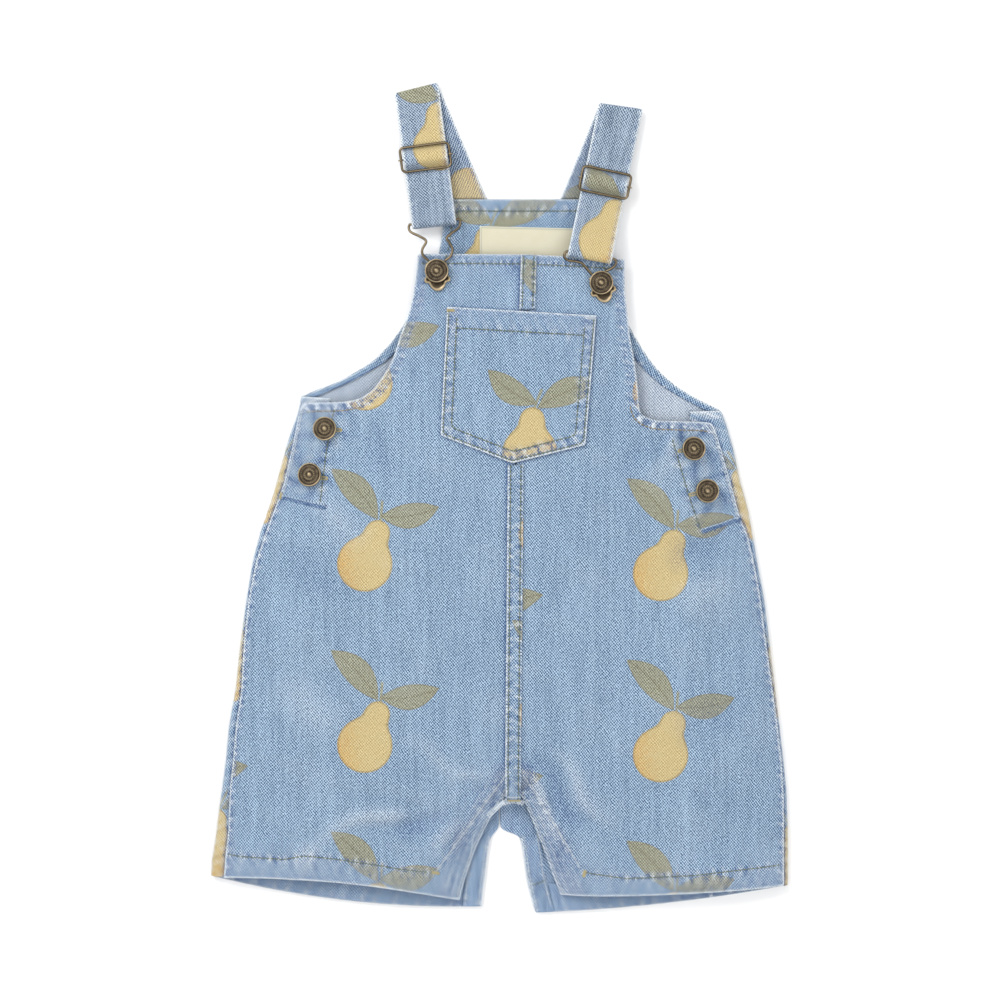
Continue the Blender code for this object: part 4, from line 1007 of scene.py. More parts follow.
def denim_material(name, look):
    """Washed twill: fine slanting ribs, slubs down the cloth, ridges paler with wear and painted
    highlight, and hollows deeper blue with painted shade.
    """
    shade = Shade(name)
    x, y = shade.cloth_place()

    wander = shade.scaled(shade.noise(shade.vector(x, y), 0.22, 3.0, 0.6), 1.5, -0.75)
    across = shade.sum(shade.times(x, TWILL_ACROSS[0] / TWILL_PITCH),
                       shade.times(y, TWILL_ACROSS[1] / TWILL_PITCH), shade.times(wander, 0.9))
    along = shade.sum(shade.times(x, -TWILL_ACROSS[1]), shade.times(y, TWILL_ACROSS[0]))
    ribs = shade.math("SINE", shade.times(across, 2.0 * math.pi))
    picks = shade.sum(shade.times(x, PICKS_ACROSS[0] / PICK_PITCH),
                      shade.times(y, PICKS_ACROSS[1] / PICK_PITCH), shade.times(wander, 0.6))
    picks = shade.math("SINE", shade.times(picks, 2.0 * math.pi))
    grain = shade.stretched_noise(shade.times(across, 1.3), shade.times(along, 0.6), 0.0, 2.0, 0.6)
    flecks = shade.stretched_noise(shade.times(x, 0.95), shade.times(y, 0.8), 0.0, 2.0, 0.7)
    slubs = shade.stretched_noise(shade.times(x, 0.32), shade.times(y, 0.022), 0.0, 4.0, 0.7)
    bands = shade.stretched_noise(shade.times(x, 0.06), shade.times(y, 0.009), 7.0, 2.0, 0.5)
    wash = shade.scaled(shade.noise(shade.vector(x, y, 3.0), 0.018, 3.0, 0.5), 2.0, -1.0)

    patches = shade.noise(shade.vector(shade.times(x, 0.22), shade.times(y, 0.075), 5.0), 1.0, 2.0, 0.5)
    patches = shade.math("MAXIMUM", shade.scaled(patches, 3.2, -0.65), 0.66)
    wear, deep_blue_and_shade = shade.value("wear"), shade.value("shade")
    patches = shade.times(patches, shade.scaled(shade.sum(wear, deep_blue_and_shade), 1.2, 1.0))
    weave = shade.sum(shade.times(ribs, 0.50 * look.contrast), shade.times(picks, 0.34 * look.contrast),
                      shade.times(grain, 0.50 * look.contrast), shade.times(flecks, 0.80 * look.contrast))
    weave = shade.times(weave, patches)
    tone = shade.sum(weave, shade.times(slubs, 0.26 * look.streaks), shade.times(bands, 0.10 * look.streaks),
                     shade.times(wash, 0.05))
    ground = shade.mixed(shade.math("ADD", tone, look.level, clamp=True), look.dark, look.light)

    frayed, worn_in = (shade.stretched_noise(shade.times(x, 0.75), shade.times(y, 0.6), depth, 3.0, 0.7, 2.2)
                       for depth in (11.0, 17.0))
    whole = [shade.math("MULTIPLY_ADD", value, 2.2, -1.3, clamp=True) for value in (wear, deep_blue_and_shade)]
    broken = shade.sum(shade.scaled(weave, 1.1, 1.0), frayed)
    wear = shade.sum(shade.times(wear, shade.math("MAXIMUM", broken, 0.1)), shade.times(whole[0], 0.5))
    broken = shade.sum(shade.scaled(weave, -0.8, 1.05), worn_in)
    deep_blue_and_shade = shade.sum(shade.times(deep_blue_and_shade, shade.math("MAXIMUM", broken, 0.1)), shade.times(whole[1], 0.4))
    if look.printed:
        ground = pear_print(shade, x, y, ground, weave)
    # Indigo here is partly deeper blue, partly painted shade; the bleached tone is wear and painted highlight
    ground = shade.mixed(shade.math("MULTIPLY", deep_blue_and_shade, 0.75, clamp=True), ground, INDIGO_AND_SHADE)
    ground = shade.mixed(shade.math("MULTIPLY", wear, 0.92, clamp=True), ground, BLEACHED_AND_HIGHLIGHT)
    relief = shade.sum(shade.times(ribs, 0.5), grain, shade.times(slubs, 0.4))
    return shade.set(Base_Color=ground, Roughness=0.9, Specular_IOR_Level=0.15, Sheen_Weight=0.12,
                     Sheen_Roughness=0.5, Normal=shade.bump(relief, 0.55, 0.00022))


def label_material():
    """Cream satin with a woven edge and no lettering."""
    shade = Shade("woven_label")
    x, y = shade.cloth_place()
    picks = shade.math("SINE", shade.times(y, 2.0 * math.pi / 0.42))
    ends = shade.math("SINE", shade.times(x, 2.0 * math.pi / 0.36))
    cloudy = shade.noise(shade.vector(x, y), 0.08, 3.0)
    thread = shade.noise(shade.vector(shade.times(x, 0.2), shade.times(y, 2.4)), 1.0, 2.0)
    tone = shade.sum(shade.times(picks, 0.12), shade.times(cloudy, 0.5), shade.times(thread, 0.35))
    tone = shade.math("MULTIPLY", tone, 1.0, clamp=True)
    ground = shade.mixed(tone, (0.67, 0.645, 0.52), (0.57, 0.52, 0.35))
    ground = shade.mixed(shade.times(shade.value("shade"), 0.8), ground, (0.35, 0.36, 0.275))
    ground = shade.mixed(shade.times(shade.value("wear"), 0.6), ground, (0.71, 0.72, 0.67))
    relief = shade.sum(picks, shade.times(ends, 0.6))
    return shade.set(Base_Color=ground, Roughness=0.62, Specular_IOR_Level=0.3, Sheen_Weight=0.2,
                     Normal=shade.bump(relief, 0.35, 0.00012))


def metal_material():
    """Antique brass: dark in its hollows, worn to gold on what stands proud and in painted highlights."""
    shade = Shade("antique_brass")
    place = shade.add("ShaderNodeTexCoord", output=3)
    blotch = shade.noise(place, 420.0, 4.0, 0.65)
    fine = shade.noise(place, 2600.0, 2.0, 0.6)
    rubbed = shade.math("ADD", shade.value("rubbed"), shade.scaled(blotch, 0.5, -0.25), clamp=True)
    colour = shade.mixed(rubbed, (0.034, 0.026, 0.021), (0.52, 0.41, 0.25))
    roughness = shade.scaled(blotch, 0.25, 0.27)
    return shade.set(Base_Color=colour, Metallic=1.0, Roughness=roughness,
                     Normal=shade.bump(shade.sum(fine, blotch), 0.25, 0.00008))


def thread_material(name, colour, shadow):
    """Twisted sewing thread."""
    shade = Shade(name)
    place = shade.add("ShaderNodeTexCoord", output=3)
    twist = shade.add("ShaderNodeTexWave", output=1, inputs={"Vector": place, "Scale": 900.0,
                                                              "Distortion": 3.0, "Detail": 2.0})
    uneven = shade.noise(place, 160.0, 3.0)
    share = shade.sum(shade.times(twist, 0.45), shade.times(uneven, 0.6))
    share = shade.math("MULTIPLY", share, 1.0, clamp=True)
    return shade.set(Base_Color=shade.mixed(share, shadow, colour), Roughness=0.7, Specular_IOR_Level=0.25,
                     Sheen_Weight=0.3, Normal=shade.bump(twist, 0.4, 0.0001))


DENIM_FRONT = denim_material("washed_denim", LOOKS["front"])
DENIM_STRAP = denim_material("strap_denim", LOOKS["strap"])
DENIM_FACING = denim_material("facing_denim", LOOKS["facing"])
DENIM_NECK = denim_material("neck_denim", LOOKS["facing"]._replace(printed=True))
DENIM_WRONG_SIDE = denim_material("denim_wrong_side", LOOKS["wrong_side"])
DENIM_DEEP_INSIDE = denim_material("denim_deep_inside", LOOKS["deep_inside"])
LABEL_CREAM = label_material()
BRASS = metal_material()
THREADS = {
    "khaki": thread_material("khaki_thread", (0.165, 0.205, 0.125), (0.07, 0.095, 0.075)),
    "ochre": thread_material("ochre_thread", (0.34, 0.275, 0.16), (0.17, 0.145, 0.10)),
    "pale": thread_material("pale_thread", (0.52, 0.57, 0.61), (0.30, 0.36, 0.44)),
    "yellow": thread_material("yellow_thread", (0.50, 0.44, 0.24), (0.29, 0.24, 0.12)),
}


# Where each piece of cloth was cut from the print, so that the print breaks at the seams
PRINT_SHIFT = {
    "front_left": (20.0, 31.0), "front_right": (78.0, 37.0), "bib_pocket": (41.0, 18.0),
    "back_left": (5.0, 60.0), "back_right": (90.0, 22.0), "neck_facing": (69.0, 17.0),
    "strap_left": (36.0, 50.0), "strap_right": (38.0, 88.0),
}


def cloth_uv(name, places):
    """Where each place lies on the cloth, in millimetres."""
    return places + np.array(PRINT_SHIFT.get(name, (0.0, 0.0)))


def front_seams(name, places, marks, rows):
    """The hems and seams at the edges of a front half, and its other rows of stitches."""
    lines = FRONT_LINES[name]
    end = marks[rows.opening_end]
    corner = marks[rows.corner]
    edge = places[:, -1]
    inseam = places[marks[rows.inseam]:, 0]
    return [
        Seam(places[0], 6.0, (6.0,), 0.26, 2.6, 4.6, 0.8, "khaki", ((3.2, 2.8, 0.4),)),
        Seam(edge[:corner + 1], 5.8, (5.6,), 0.24, 2.4, 4.4, 0.95, None, ((3.0, 2.4, 0.3),)),
        Seam(edge[marks[UNDER_ARM_ROW]:corner + 1], 0.0, (), 0.0, 1.0, 6.6, 0.0, None, ((3.4, 3.2, 2.2),)),
        Seam(edge[corner:end + 1], 0.0, (1.9,), 0.22, 2.6, 7.0, 1.0, "pale"),
        Seam(edge[end:], 0.0, (1.6,), 0.26, 2.4, 6.0, 0.95, None),
        Seam(places[-1], 15.0, (), 0.0, 3.0, 8.5, 1.0, None, ((7.5, 6.0, 0.45),)),
        Seam(inseam, 14.5, (2.2,), 0.14, 2.4, 6.0, 0.9, "pale", ((8.0, 6.0, 0.35),), (5.4, 10.0, 13.6)),
        Seam(lines.hem, 0.0, (0.0,), 0.30, 3.2, 5.6, 0.0, "khaki"),
        Seam(lines.placket, 0.0, (0.0,), 0.22, 2.4, 5.5, 0.12, "pale"),
        # The side opening's end: a line of painted shadow under the step
        Seam(lines.opening_end, 0.0, (), 0.0, 2.0, 6.0, 0.0, None, (), (), 1.7),
        Seam(lines.side_facing, 0.0, (0.0,), 0.18, 3.5, 7.0, 0.0, "khaki"),
    ]


def front_surface(rows):
    """The ground plan and the height of a front half, before its seams and creases."""
    fine, marks = refined(rows, ROW_STEP)
    width = section_widths(fine)
    insets = spread(width, SEAM_HALF_GAP, FRONT_COLUMNS)
    places = section_places(fine, insets, fine[:, 7])
    inner_z, crown_z, outer_z = (fine[:, column][:, None] for column in (4, 5, 6))
    height = crown_z - (crown_z - outer_z) * (1.0 - ease((width[:, None] - insets) / SIDE_RISE))
    height = height - (crown_z - inner_z) * (1.0 - ease(insets / INSEAM_RISE))
    edge = np.minimum(ease(insets / 12.0), ease((width[:, None] - insets) / 12.0))
    return fine, marks, places, height, edge


def plan_area(grid):
    """The area of a grid on the ground plan, in square metres."""
    diagonal = grid[1:, 1:, :2] - grid[:-1, :-1, :2]
    other = grid[1:, :-1, :2] - grid[:-1, 1:, :2]
    cells = 0.5 * np.abs(diagonal[..., 0] * other[..., 1] - diagonal[..., 1] * other[..., 0])
    return float(cells.sum()) * MM * MM


STITCH_LINES = {label: [] for label in THREADS}


def note_stitches(seams, centre):
    """Keep the rows of stitches of some seams, to be sewn when all cloth is laid."""
    for seam in seams:
        if seam.thread:
            for distance in seam.stitches:
                line = moved_aside(seam.line, distance, centre) if distance else resampled(seam.line, 3.0)
                STITCH_LINES[seam.thread].append(line)


def painted_shadow_lines():
    """The edges of what is sewn on the fronts and the hollows by the crotch, with how dark the painted
    shadow along each is.
    """
    pocket = np.array((POCKET_TOP_LEFT, POCKET_LOW_LEFT, POCKET_POINT, POCKET_LOW_RIGHT, POCKET_TOP_RIGHT,
                       POCKET_TOP_LEFT))
    lines = [(pocket, 0.75)]
    for line in (SEAM_UPPER, SEAM_LOWER):
        for sign, dark in ((-1.0, 1.0), (1.0, 0.2)):
            lines.append((np.array(line) + np.array((sign * (0.5 * SEAM_WIDTH + 0.6), 0.0)), dark))
    lines.extend((np.array(line), 0.9) for line in CROTCH_HOLLOWS)
    return lines


def rolled_part(line, half_width, half_height, wear, shade):
    """A narrow rolled edge of cloth along a line."""
    sides = 14
    line = smooth_line(line, False, 8)
    vertices, faces, _ = tube_parts(line, 1.0, sides, False)
    centres = np.repeat(line, sides, axis=0)
    vertices = centres + (vertices - centres) * np.array((half_width, half_width, half_height))
    quads = [face for face in faces if len(face) == 4]
    for cap in faces[len(quads):]:
        quads.extend([cap[0], *cap[corner:corner + 3]] for corner in range(1, sides - 2, 2))
    quads = np.array(quads)
    wave = uneven_wave(np.repeat(np.arange(len(line)) * 0.9, sides), 4.5, 91)
    return (vertices, quads, np.zeros(len(quads), int), wear * (1.0 + 0.4 * wave), shade * (1.0 - 0.2 * wave),
            vertices[:, :2])


Front = namedtuple("Front", "piece sections places")


def make_front(name, rows, landmarks):
    """One half of the front."""
    fine, marks, places, height, edge = front_surface(rows)
    seams = front_seams(name, places, marks, landmarks)
    lift, wear, shade = seam_relief(places, seams)
    crease, crease_wear_and_highlight, crease_shade = creased(places)
    swell = 0.35 * soft_swell(places, 46.0, 5) + 0.12 * soft_swell(places, 17.0, 8)
    outer = np.concatenate((places, (height + lift + edge * (crease + swell))[..., None]), axis=2)
    # Swell hills painted paler as painted highlight, and its dips darker as painted shade
    wear = wear + crease_wear_and_highlight * edge + 0.10 * np.clip(swell, 0.0, 1.0)
    shade = shade + crease_shade * edge + 0.10 * np.clip(-swell, 0.0, 1.0)
    # Painted shadow beside the pocket and the seam strips, and painted shade in the crotch's hollows
    for line, dark in painted_shadow_lines():
        beside = measured_from(places.reshape(-1, 2), line)[0].reshape(shade.shape)
        shade = shade + dark * bell(beside, 1.3)
    # Deeper blue patches, and painted shade by the crotch
    for spot in DARK_SPOTS:
        offset = places - np.array((spot.x, spot.y))
        away = np.linalg.norm(offset / (spot.half_width, spot.half_height), axis=2)
        shade = shade + spot.depth * bell(away, 1.0)
    # Puckers round each side button, painted only: dark spokes of deeper blue and painted shade, pale between
    for button in SIDE_BUTTONS.values():
        offset = places - np.array(button)
        away = np.linalg.norm(offset, axis=2)
        spokes = np.sin(5.0 * np.arctan2(offset[..., 1], offset[..., 0]) + 0.25 * away)
        around = bell(away - 11.0, 4.5)
        shade = shade + 0.85 * around * np.clip(spokes, 0.0, 1.0)
        wear = wear + 0.18 * around * np.clip(-spokes, 0.0, 1.0)
    parts = [shell_parts(outer, DENIM - 0.1, 1.0, wear, shade, cloth_uv(name, places))]
    grid = outer.reshape(-1, 3)
    line = []
    for spot in resampled(FRONT_LINES[name].opening_end, 5.0):
        nearest = np.argmin(np.linalg.norm(grid[:, :2] - spot, axis=1))
        line.append((*spot, grid[nearest, 2] + 0.1))
    # A dark roll of painted shadow under the opening's step, and a pale rim beside it
    for shift, half_width, wear_level, shade_level in ((0.0, 1.1, 0.0, 1.3), (1.6, 0.5, 0.15, 0.0)):
        parts.append(rolled_part(np.array(line) + np.array((0.0, shift, 0.0)), half_width, 0.45, wear_level,
                                 shade_level))
    piece = cloth_object(name + "_cloth", parts, [DENIM_FRONT, DENIM_WRONG_SIDE])
    finish_piece(piece, [name])
    plan_area(outer)
    middle = places[:, places.shape[1] // 2]
    centre = middle[len(middle) // 2]
    note_stitches(seams, centre)
    under_arm = places[marks[UNDER_ARM_ROW]:marks[landmarks.corner] + 1, -1]
    STITCH_LINES["ochre"].append(moved_aside(under_arm, 5.6, centre))
    return Front(piece, fine, places)


def make_front_hem(name, rows):
    """The turned up hem inside the front of a leg."""
    _, marks, places, height, edge = front_surface(rows)
    first = marks[-HEM_ROWS]
    kept = slice(6, -16)
    lining = places[first:, kept]
    crease = creased(lining)[0] * edge[first:, kept]
    level = height[first:, kept] + crease - DENIM - GAP - 0.1
    outer = np.concatenate((lining, level[..., None]), axis=2)
    nothing = np.zeros(level.shape)
    parts = shell_parts(outer, TURNING, 1.0, nothing, nothing + 0.15, lining)
    piece = cloth_object(name + "_cloth", [parts], [DENIM_WRONG_SIDE])
    finish_piece(piece, [name])
    plan_area(outer)


def make_back(name, rows, wrap_first):
    """One half of the back: flat on the floor, then folded up round the side."""
    fine, marks = refined(rows, BACK_ROW_STEP)
    width = section_widths(fine)
    folded = smooth_step(fine[:, 4] / 6.0)
    insets = spread(width - folded * (FOLD_RADIUS + 1.0), SEAM_HALF_GAP, BACK_COLUMNS)
    places = section_places(fine, insets, fine[:, 5])
    outer = np.concatenate((places, np.zeros(places.shape[:2])[..., None]), axis=2)
    seams = [Seam(places[0], 0.0, (2.0,), 0.0, 2.5, 7.0, 0.9, None),
             Seam(places[-1], 0.0, (2.0,), 0.0, 2.5, 7.0, 0.9, None),
             Seam(places[:marks[wrap_first], -1], 0.0, (2.0,), 0.0, 2.5, 7.0, 0.9, None)]
    _, wear, shade = seam_relief(places, seams)
    flat_part = shell_parts(outer, DENIM, -1.0, wear, shade, cloth_uv(name, places))
    area = plan_area(outer)

    fine, marks = refined(rows[wrap_first:], TURNED_ROW_STEP)
    inner = np.stack((fine[:, 0], fine[:, 1]), axis=1)
    outline = np.stack((fine[:, 2], fine[:, 3]), axis=1)
    inward = inner - outline
    inward /= np.linalg.norm(inward, axis=1)[:, None]
    run = np.concatenate((-2.2 + np.array((0.0, 0.2, 0.6, 1.2, 2.2)),
                          np.linspace(0.0, math.pi, 15)[1:] * FOLD_RADIUS))
    angles = np.clip(run / FOLD_RADIUS, 0.0, math.pi)
    columns = []
    for distance, angle in zip(run, angles):
        aside = FOLD_RADIUS * (1.0 - math.sin(angle)) - min(distance, 0.0)
        level = FOLD_RADIUS * (1.0 - math.cos(angle))
        columns.append(np.concatenate((outline + inward * aside, np.full((len(fine), 1), level)), axis=1))
    top_run = np.maximum(fine[:, 4] - FOLD_RADIUS, 2.5)[:, None]
    for share in (0.03, 0.08, 0.16, 0.26, 0.38, 0.5, 0.62, 0.74, 0.84, 0.92, 0.97, 1.0):
        spot = outline + inward * (FOLD_RADIUS + share * top_run)
        columns.append(np.concatenate((spot, np.full((len(fine), 1), 2.0 * FOLD_RADIUS)), axis=1))
    outer = np.stack(columns, axis=1)
    travelled = np.cumsum(np.linalg.norm(np.diff(outer, axis=1), axis=2), axis=1)
    travelled = np.pad(travelled, ((0, 0), (1, 0)))
    along = np.cumsum(np.pad(np.linalg.norm(np.diff(outline, axis=0), axis=1), (1, 0)))[:, None]
    raised = np.clip(outer[..., 2] / (2.0 * FOLD_RADIUS), 0.0, 1.0)
    ripple = uneven_wave(along + 0.5 * travelled, 8.0, 31) * raised
    cross = uneven_wave(along - 0.8 * travelled, 5.2, 32) * raised
    outer[..., 2] += 0.10 * ripple * smooth_step(raised * 2.0 - 1.0) - 0.1 * raised
    fold = bell(travelled - 2.2 - 1.65 * FOLD_RADIUS, 1.5)
    front_edge = FRONTS[name.replace("back", "front")].sections[:, 2:4]
    beside = measured_from(outer[..., :2].reshape(-1, 2), front_edge)[0].reshape(outer.shape[:2])
    wear = np.clip(0.75 * fold + 0.08 * raised + 0.18 * raised * ripple + 0.10 * cross, 0.0, 0.9)
    rim = raised * (bell(along - 0.3, 1.0) + 0.4 * bell(along - 3.0, 2.5) * (1.0 + ripple))
    wear = np.clip(wear + 0.7 * rim, 0.0, 0.9)
    # Painted shadow along the front's edge over the strip and along a stitched line below the top edge, and
    # painted shade in the puckers' hollows
    shade = np.clip(0.22 * raised * -ripple + 0.85 * raised * bell(beside - 0.4, 1.1)
                    + 0.6 * raised * bell(along - 6.5, 0.9), 0.0, 0.9)
    uv = np.stack((travelled + 0.0 * along, 0.0 * travelled - along), axis=2)
    turned_part = shell_parts(outer, DENIM - 0.1, 1.0, wear, shade, uv + np.array((300.0, 0.0)))

    piece = cloth_object(name + "_cloth", [flat_part, turned_part],
                         [DENIM_FRONT, DENIM_WRONG_SIDE, DENIM_DEEP_INSIDE])
    for polygon in piece.data.polygons:
        if polygon.material_index == 1 and polygon.center.y < LEG_INSIDE_Y * MM:
            polygon.material_index = 2
    finish_piece(piece, [name])
    area += float(np.sum(travelled[:-1, -1] * np.diff(along[:, 0]))) * MM * MM
    return piece


FRONTS = {}
for front_name, front_rows, front_marks in (("front_left", FRONT_LEFT, LEFT_ROWS),
                                            ("front_right", FRONT_RIGHT, RIGHT_ROWS)):
    FRONTS[front_name] = make_front(front_name, front_rows, front_marks)
    make_front_hem(front_name.replace("front", "front_hem"), front_rows)
BACKS = [make_back("back_left", BACK_LEFT, LEFT_ROWS.wrap),
         make_back("back_right", BACK_RIGHT, RIGHT_ROWS.wrap)]


def lining_piece(name, places, seams, material, uv_turn):
    """A facing, placket or hem that lies on the inside of the back."""
    lift, wear, shade = seam_relief(places, seams)
    level = LINING_TOP + np.clip(lift, -0.3, 0.6) + 0.08 * soft_swell(places, 14.0, 3)
    outer = np.concatenate((places, level[..., None]), axis=2)
    cosine, sine = math.cos(uv_turn), math.sin(uv_turn)
    uv = places @ np.array(((cosine, sine), (-sine, cosine)))
    parts = shell_parts(outer, TURNING, 1.0, wear, shade, cloth_uv(name, uv))
    piece = cloth_object(name + "_cloth", [parts], [material])
    finish_piece(piece, [name])
    width = np.ptp(places[..., 0]) + LINING_EXTRA
    length = np.ptp(places[..., 1]) + LINING_EXTRA
    area = plan_area(outer)
    if area < 0.31 * width * length * MM * MM:
        band = np.linalg.norm(places[:, -1] - places[:, 0], axis=1).mean()
        width, length = band + 1.0, area / (band * MM * MM)
    note_stitches(seams, places[places.shape[0] // 2, places.shape[1] // 2])
    return piece


def make_linings():
    """The facings at the neck and armholes, and the leg hems and plackets of the back."""
    pieces = []
    left = refined(BACK_LEFT[:NECK_FACING_ROWS], LINING_ROW_STEP)[0]
    right = refined(BACK_RIGHT[:NECK_FACING_ROWS], LINING_ROW_STEP)[0]
    count = min(len(left), len(right))
    left, right = left[:count], right[:count]
    width = right[:, 2] - left[:, 2]
    across = spread(width, 0.0, 62)
    places = np.stack((left[:, 2][:, None] + across, left[:, 3][:, None] + 0.0 * across), axis=2)
    seams = [Seam(places[0], 7.5, (7.4,), 0.36, 4.2, 7.0, 0.5, "khaki"),
             Seam(places[:, 0], 0.0, (5.5,), 0.25, 3.0, 7.0, 0.7, "khaki"),
             Seam(places[:, -1], 0.0, (5.5,), 0.25, 3.0, 7.0, 0.7, "khaki")]
    pieces.append(lining_piece("neck_facing", places, seams, DENIM_NECK, 0.0))
    for side, rows, landmarks in (("left", BACK_LEFT, LEFT_ROWS), ("right", BACK_RIGHT, RIGHT_ROWS)):
        fine = refined(rows[ARMHOLE_FACING_FIRST:landmarks.wrap + 1], LINING_ROW_STEP)[0]
        width = section_widths(fine)
        share = np.array((0.0, 0.02, 0.05, 0.1, 0.17, 0.26, 0.36, 0.47, 0.58, 0.69, 0.79, 0.87, 0.93,
                          0.98, 1.0))
        places = section_places(fine, width[:, None] - ARMHOLE_FACING * (1.0 - share), fine[:, 5])
        seams = [Seam(places[:, -1], 0.0, (6.5,), 0.3, 2.8, 6.5, 0.9, None),
                 # A line of painted shadow along the facing's inner edge
                 Seam(places[:, 0], 0.0, (), 0.0, 2.5, 6.0, 0.0, None, (), (), 0.95)]
        pieces.append(lining_piece("armhole_facing_" + side, places, seams, DENIM_FACING,
                                   0.3))
        fine = refined(rows[-PLACKET_ROWS:], LINING_ROW_STEP)[0]
        wide = PLACKET_WIDTH + 8.0
        across = spread(np.full(len(fine), wide), SEAM_HALF_GAP, 4)
        across = SEAM_HALF_GAP + (across - SEAM_HALF_GAP) * (PLACKET_WIDTH - SEAM_HALF_GAP) / (
            wide - SEAM_HALF_GAP)
        places = section_places(fine, across, fine[:, 5])
        seams = [Seam(places[:, 0], 0.0, (2.0, 10.5), 0.22, 2.6, 7.0, 0.95, "pale")]
        if side == "right":
            seams.append(Seam(BACK_HEM_LINE, 0.0, (0.0,), 0.25, 2.4, 5.0, 0.0, "khaki"))
        pieces.append(lining_piece("inseam_placket_" + side, places, seams, DENIM_DEEP_INSIDE,
                                   0.0))
        fine = refined(rows[-HEM_ROWS:], LINING_ROW_STEP)[0]
        width = section_widths(fine)
        across = spread(width - FOLD_RADIUS, PLACKET_WIDTH + GAP, 70)
        places = section_places(fine, across, fine[:, 5])
        front_edge = FRONTS["front_" + side].places[-1]
        seams = [Seam(places[-1], 0.0, (1.5,), 0.2, 3.0, 7.0, 0.5, None, ((9.0, 9.0, 0.7),)),
                 # Painted shadow where the front's bottom edge lies over the hem
                 Seam(front_edge, 0.0, (), 0.0, 8.0, 7.0, 0.0, None, (), (), 0.7)]
        pieces.append(lining_piece("back_hem_" + side, places, seams, DENIM_DEEP_INSIDE,
                                   0.0))
    return pieces


LININGS = make_linings()
FRONT_PIECES = [front.piece for front in FRONTS.values()]
front_tree = surface_tree(FRONT_PIECES)


def quad_grid(corners, rows, columns):
    """Places over a four-cornered patch, close together at its edges."""
    top_left, top_right, low_right, low_left = (np.array(corner, float) for corner in corners)
    down = spread([100.0], 0.0, rows)[0] / 100.0
    across = spread([100.0], 0.0, columns)[0] / 100.0
    left = top_left + down[:, None] * (low_left - top_left)
    right = top_right + down[:, None] * (low_right - top_right)
    return left[:, None, :] + across[None, :, None] * (right - left)[:, None, :]


def make_seam_strip(name, corners):
    """A stretch of the felled centre seam: a fold on its left, rows of stitches on both sides."""
    line = resampled(corners, 1.4)
    across = np.array((0.0, 0.15, 0.4, 0.8, 1.3, 1.9, 2.6, 3.4, 4.2, 5.0, 5.8, 6.6, 7.4, 8.1, 8.7, 9.2, 9.6,
                       9.85, 10.0)) - 0.5 * SEAM_WIDTH
    places = line[:, None, :] + np.stack((across, 0.0 * across), axis=1)[None]
    left, right = places[:, 0], places[:, -1]
    seams = [Seam(left, 0.0, (1.8,), 0.30, 3.4, 6.4, 0.8, "khaki"),
             Seam(right, 0.0, (1.7,), 0.34, 3.2, 5.6, 0.25, "khaki")]
    lift, wear, shade = seam_relief(places, seams)
    level = laid_on(front_tree, places, 6) + GAP + TURNING + np.clip(lift, -0.5, 0.7)
    outer = np.concatenate((places, level[..., None]), axis=2)
    parts = [shell_parts(outer, TURNING, 1.0, wear, shade, places + np.array((150.0, 12.0)))]
    if name == "front_seam_lower":
        fold = [(x, y, height_on(front_tree, x, y, CROTCH_FOLD_Z) + 0.7) for x, y in CROTCH_FOLD]
        parts.append(rolled_part(fold, 1.7, 0.75, 0.68, 0.0))
    piece = cloth_object(name + "_cloth", parts, [DENIM_FRONT])
    finish_piece(piece, [name])
    length = np.linalg.norm(np.diff(line, axis=0), axis=1).sum()
    plan_area(outer)
    note_stitches(seams, line[len(line) // 2])
    return piece


def make_pocket():
    """The patch pocket: a hem across its top and two rows of stitches round its point."""
    down = spread([95.0], 0.0, 40)[0] / 95.0
    across = spread([93.0], 0.0, 44)[0] / 93.0
    top_left, top_right, low_right, point, low_left = (np.array(corner) for corner in (
        POCKET_TOP_LEFT, POCKET_TOP_RIGHT, POCKET_LOW_RIGHT, POCKET_POINT, POCKET_LOW_LEFT))
    top = top_left + across[:, None] * (top_right - top_left)
    left_part = low_left + 2.0 * across[:, None] * (point - low_left)
    right_part = point + (2.0 * across[:, None] - 1.0) * (low_right - point)
    bottom = np.where(across[:, None] < 0.5, left_part, right_part)
    places = top[None] + down[:, None, None] * (bottom - top)[None]
    sides = np.array((POCKET_TOP_LEFT, POCKET_LOW_LEFT, POCKET_POINT, POCKET_LOW_RIGHT, POCKET_TOP_RIGHT))
    outline = resampled(sides, 3.0)
    top_edge = np.array((POCKET_TOP_LEFT, POCKET_TOP_RIGHT))
    seams = [Seam(top_edge, POCKET_HEM, (POCKET_HEM,), 0.2, 4.0, 9.0, 0.9, "khaki"),
             Seam(outline, 7.0, POCKET_STITCHES, 0.26, 3.0, 6.6, 0.95, "khaki")]
    lift, wear, shade = seam_relief(places, seams)
    level = laid_on(front_tree, places, 14) + GAP + DENIM + np.clip(lift, -0.5, 0.7)
    level += 0.25 * np.clip(soft_swell(places, 40.0, 21), 0.0, 1.0)
    outer = np.concatenate((places, level[..., None]), axis=2)
    parts = shell_parts(outer, DENIM, 1.0, wear, shade, cloth_uv("bib_pocket", places))
    piece = cloth_object("bib_pocket_cloth", [parts], [DENIM_FRONT, DENIM_WRONG_SIDE])
    finish_piece(piece, ["bib_pocket"])
    plan_area(outer)
    centre = np.array(POCKET_CENTRE)
    STITCH_LINES["khaki"].append(moved_aside(top_edge, POCKET_HEM, centre)[2:-2])
    for distance in POCKET_STITCHES:
        inset = centre + (sides - centre) * (1.0 - distance / 46.0)
        STITCH_LINES["khaki"].append(resampled(inset, 3.0))
    return piece


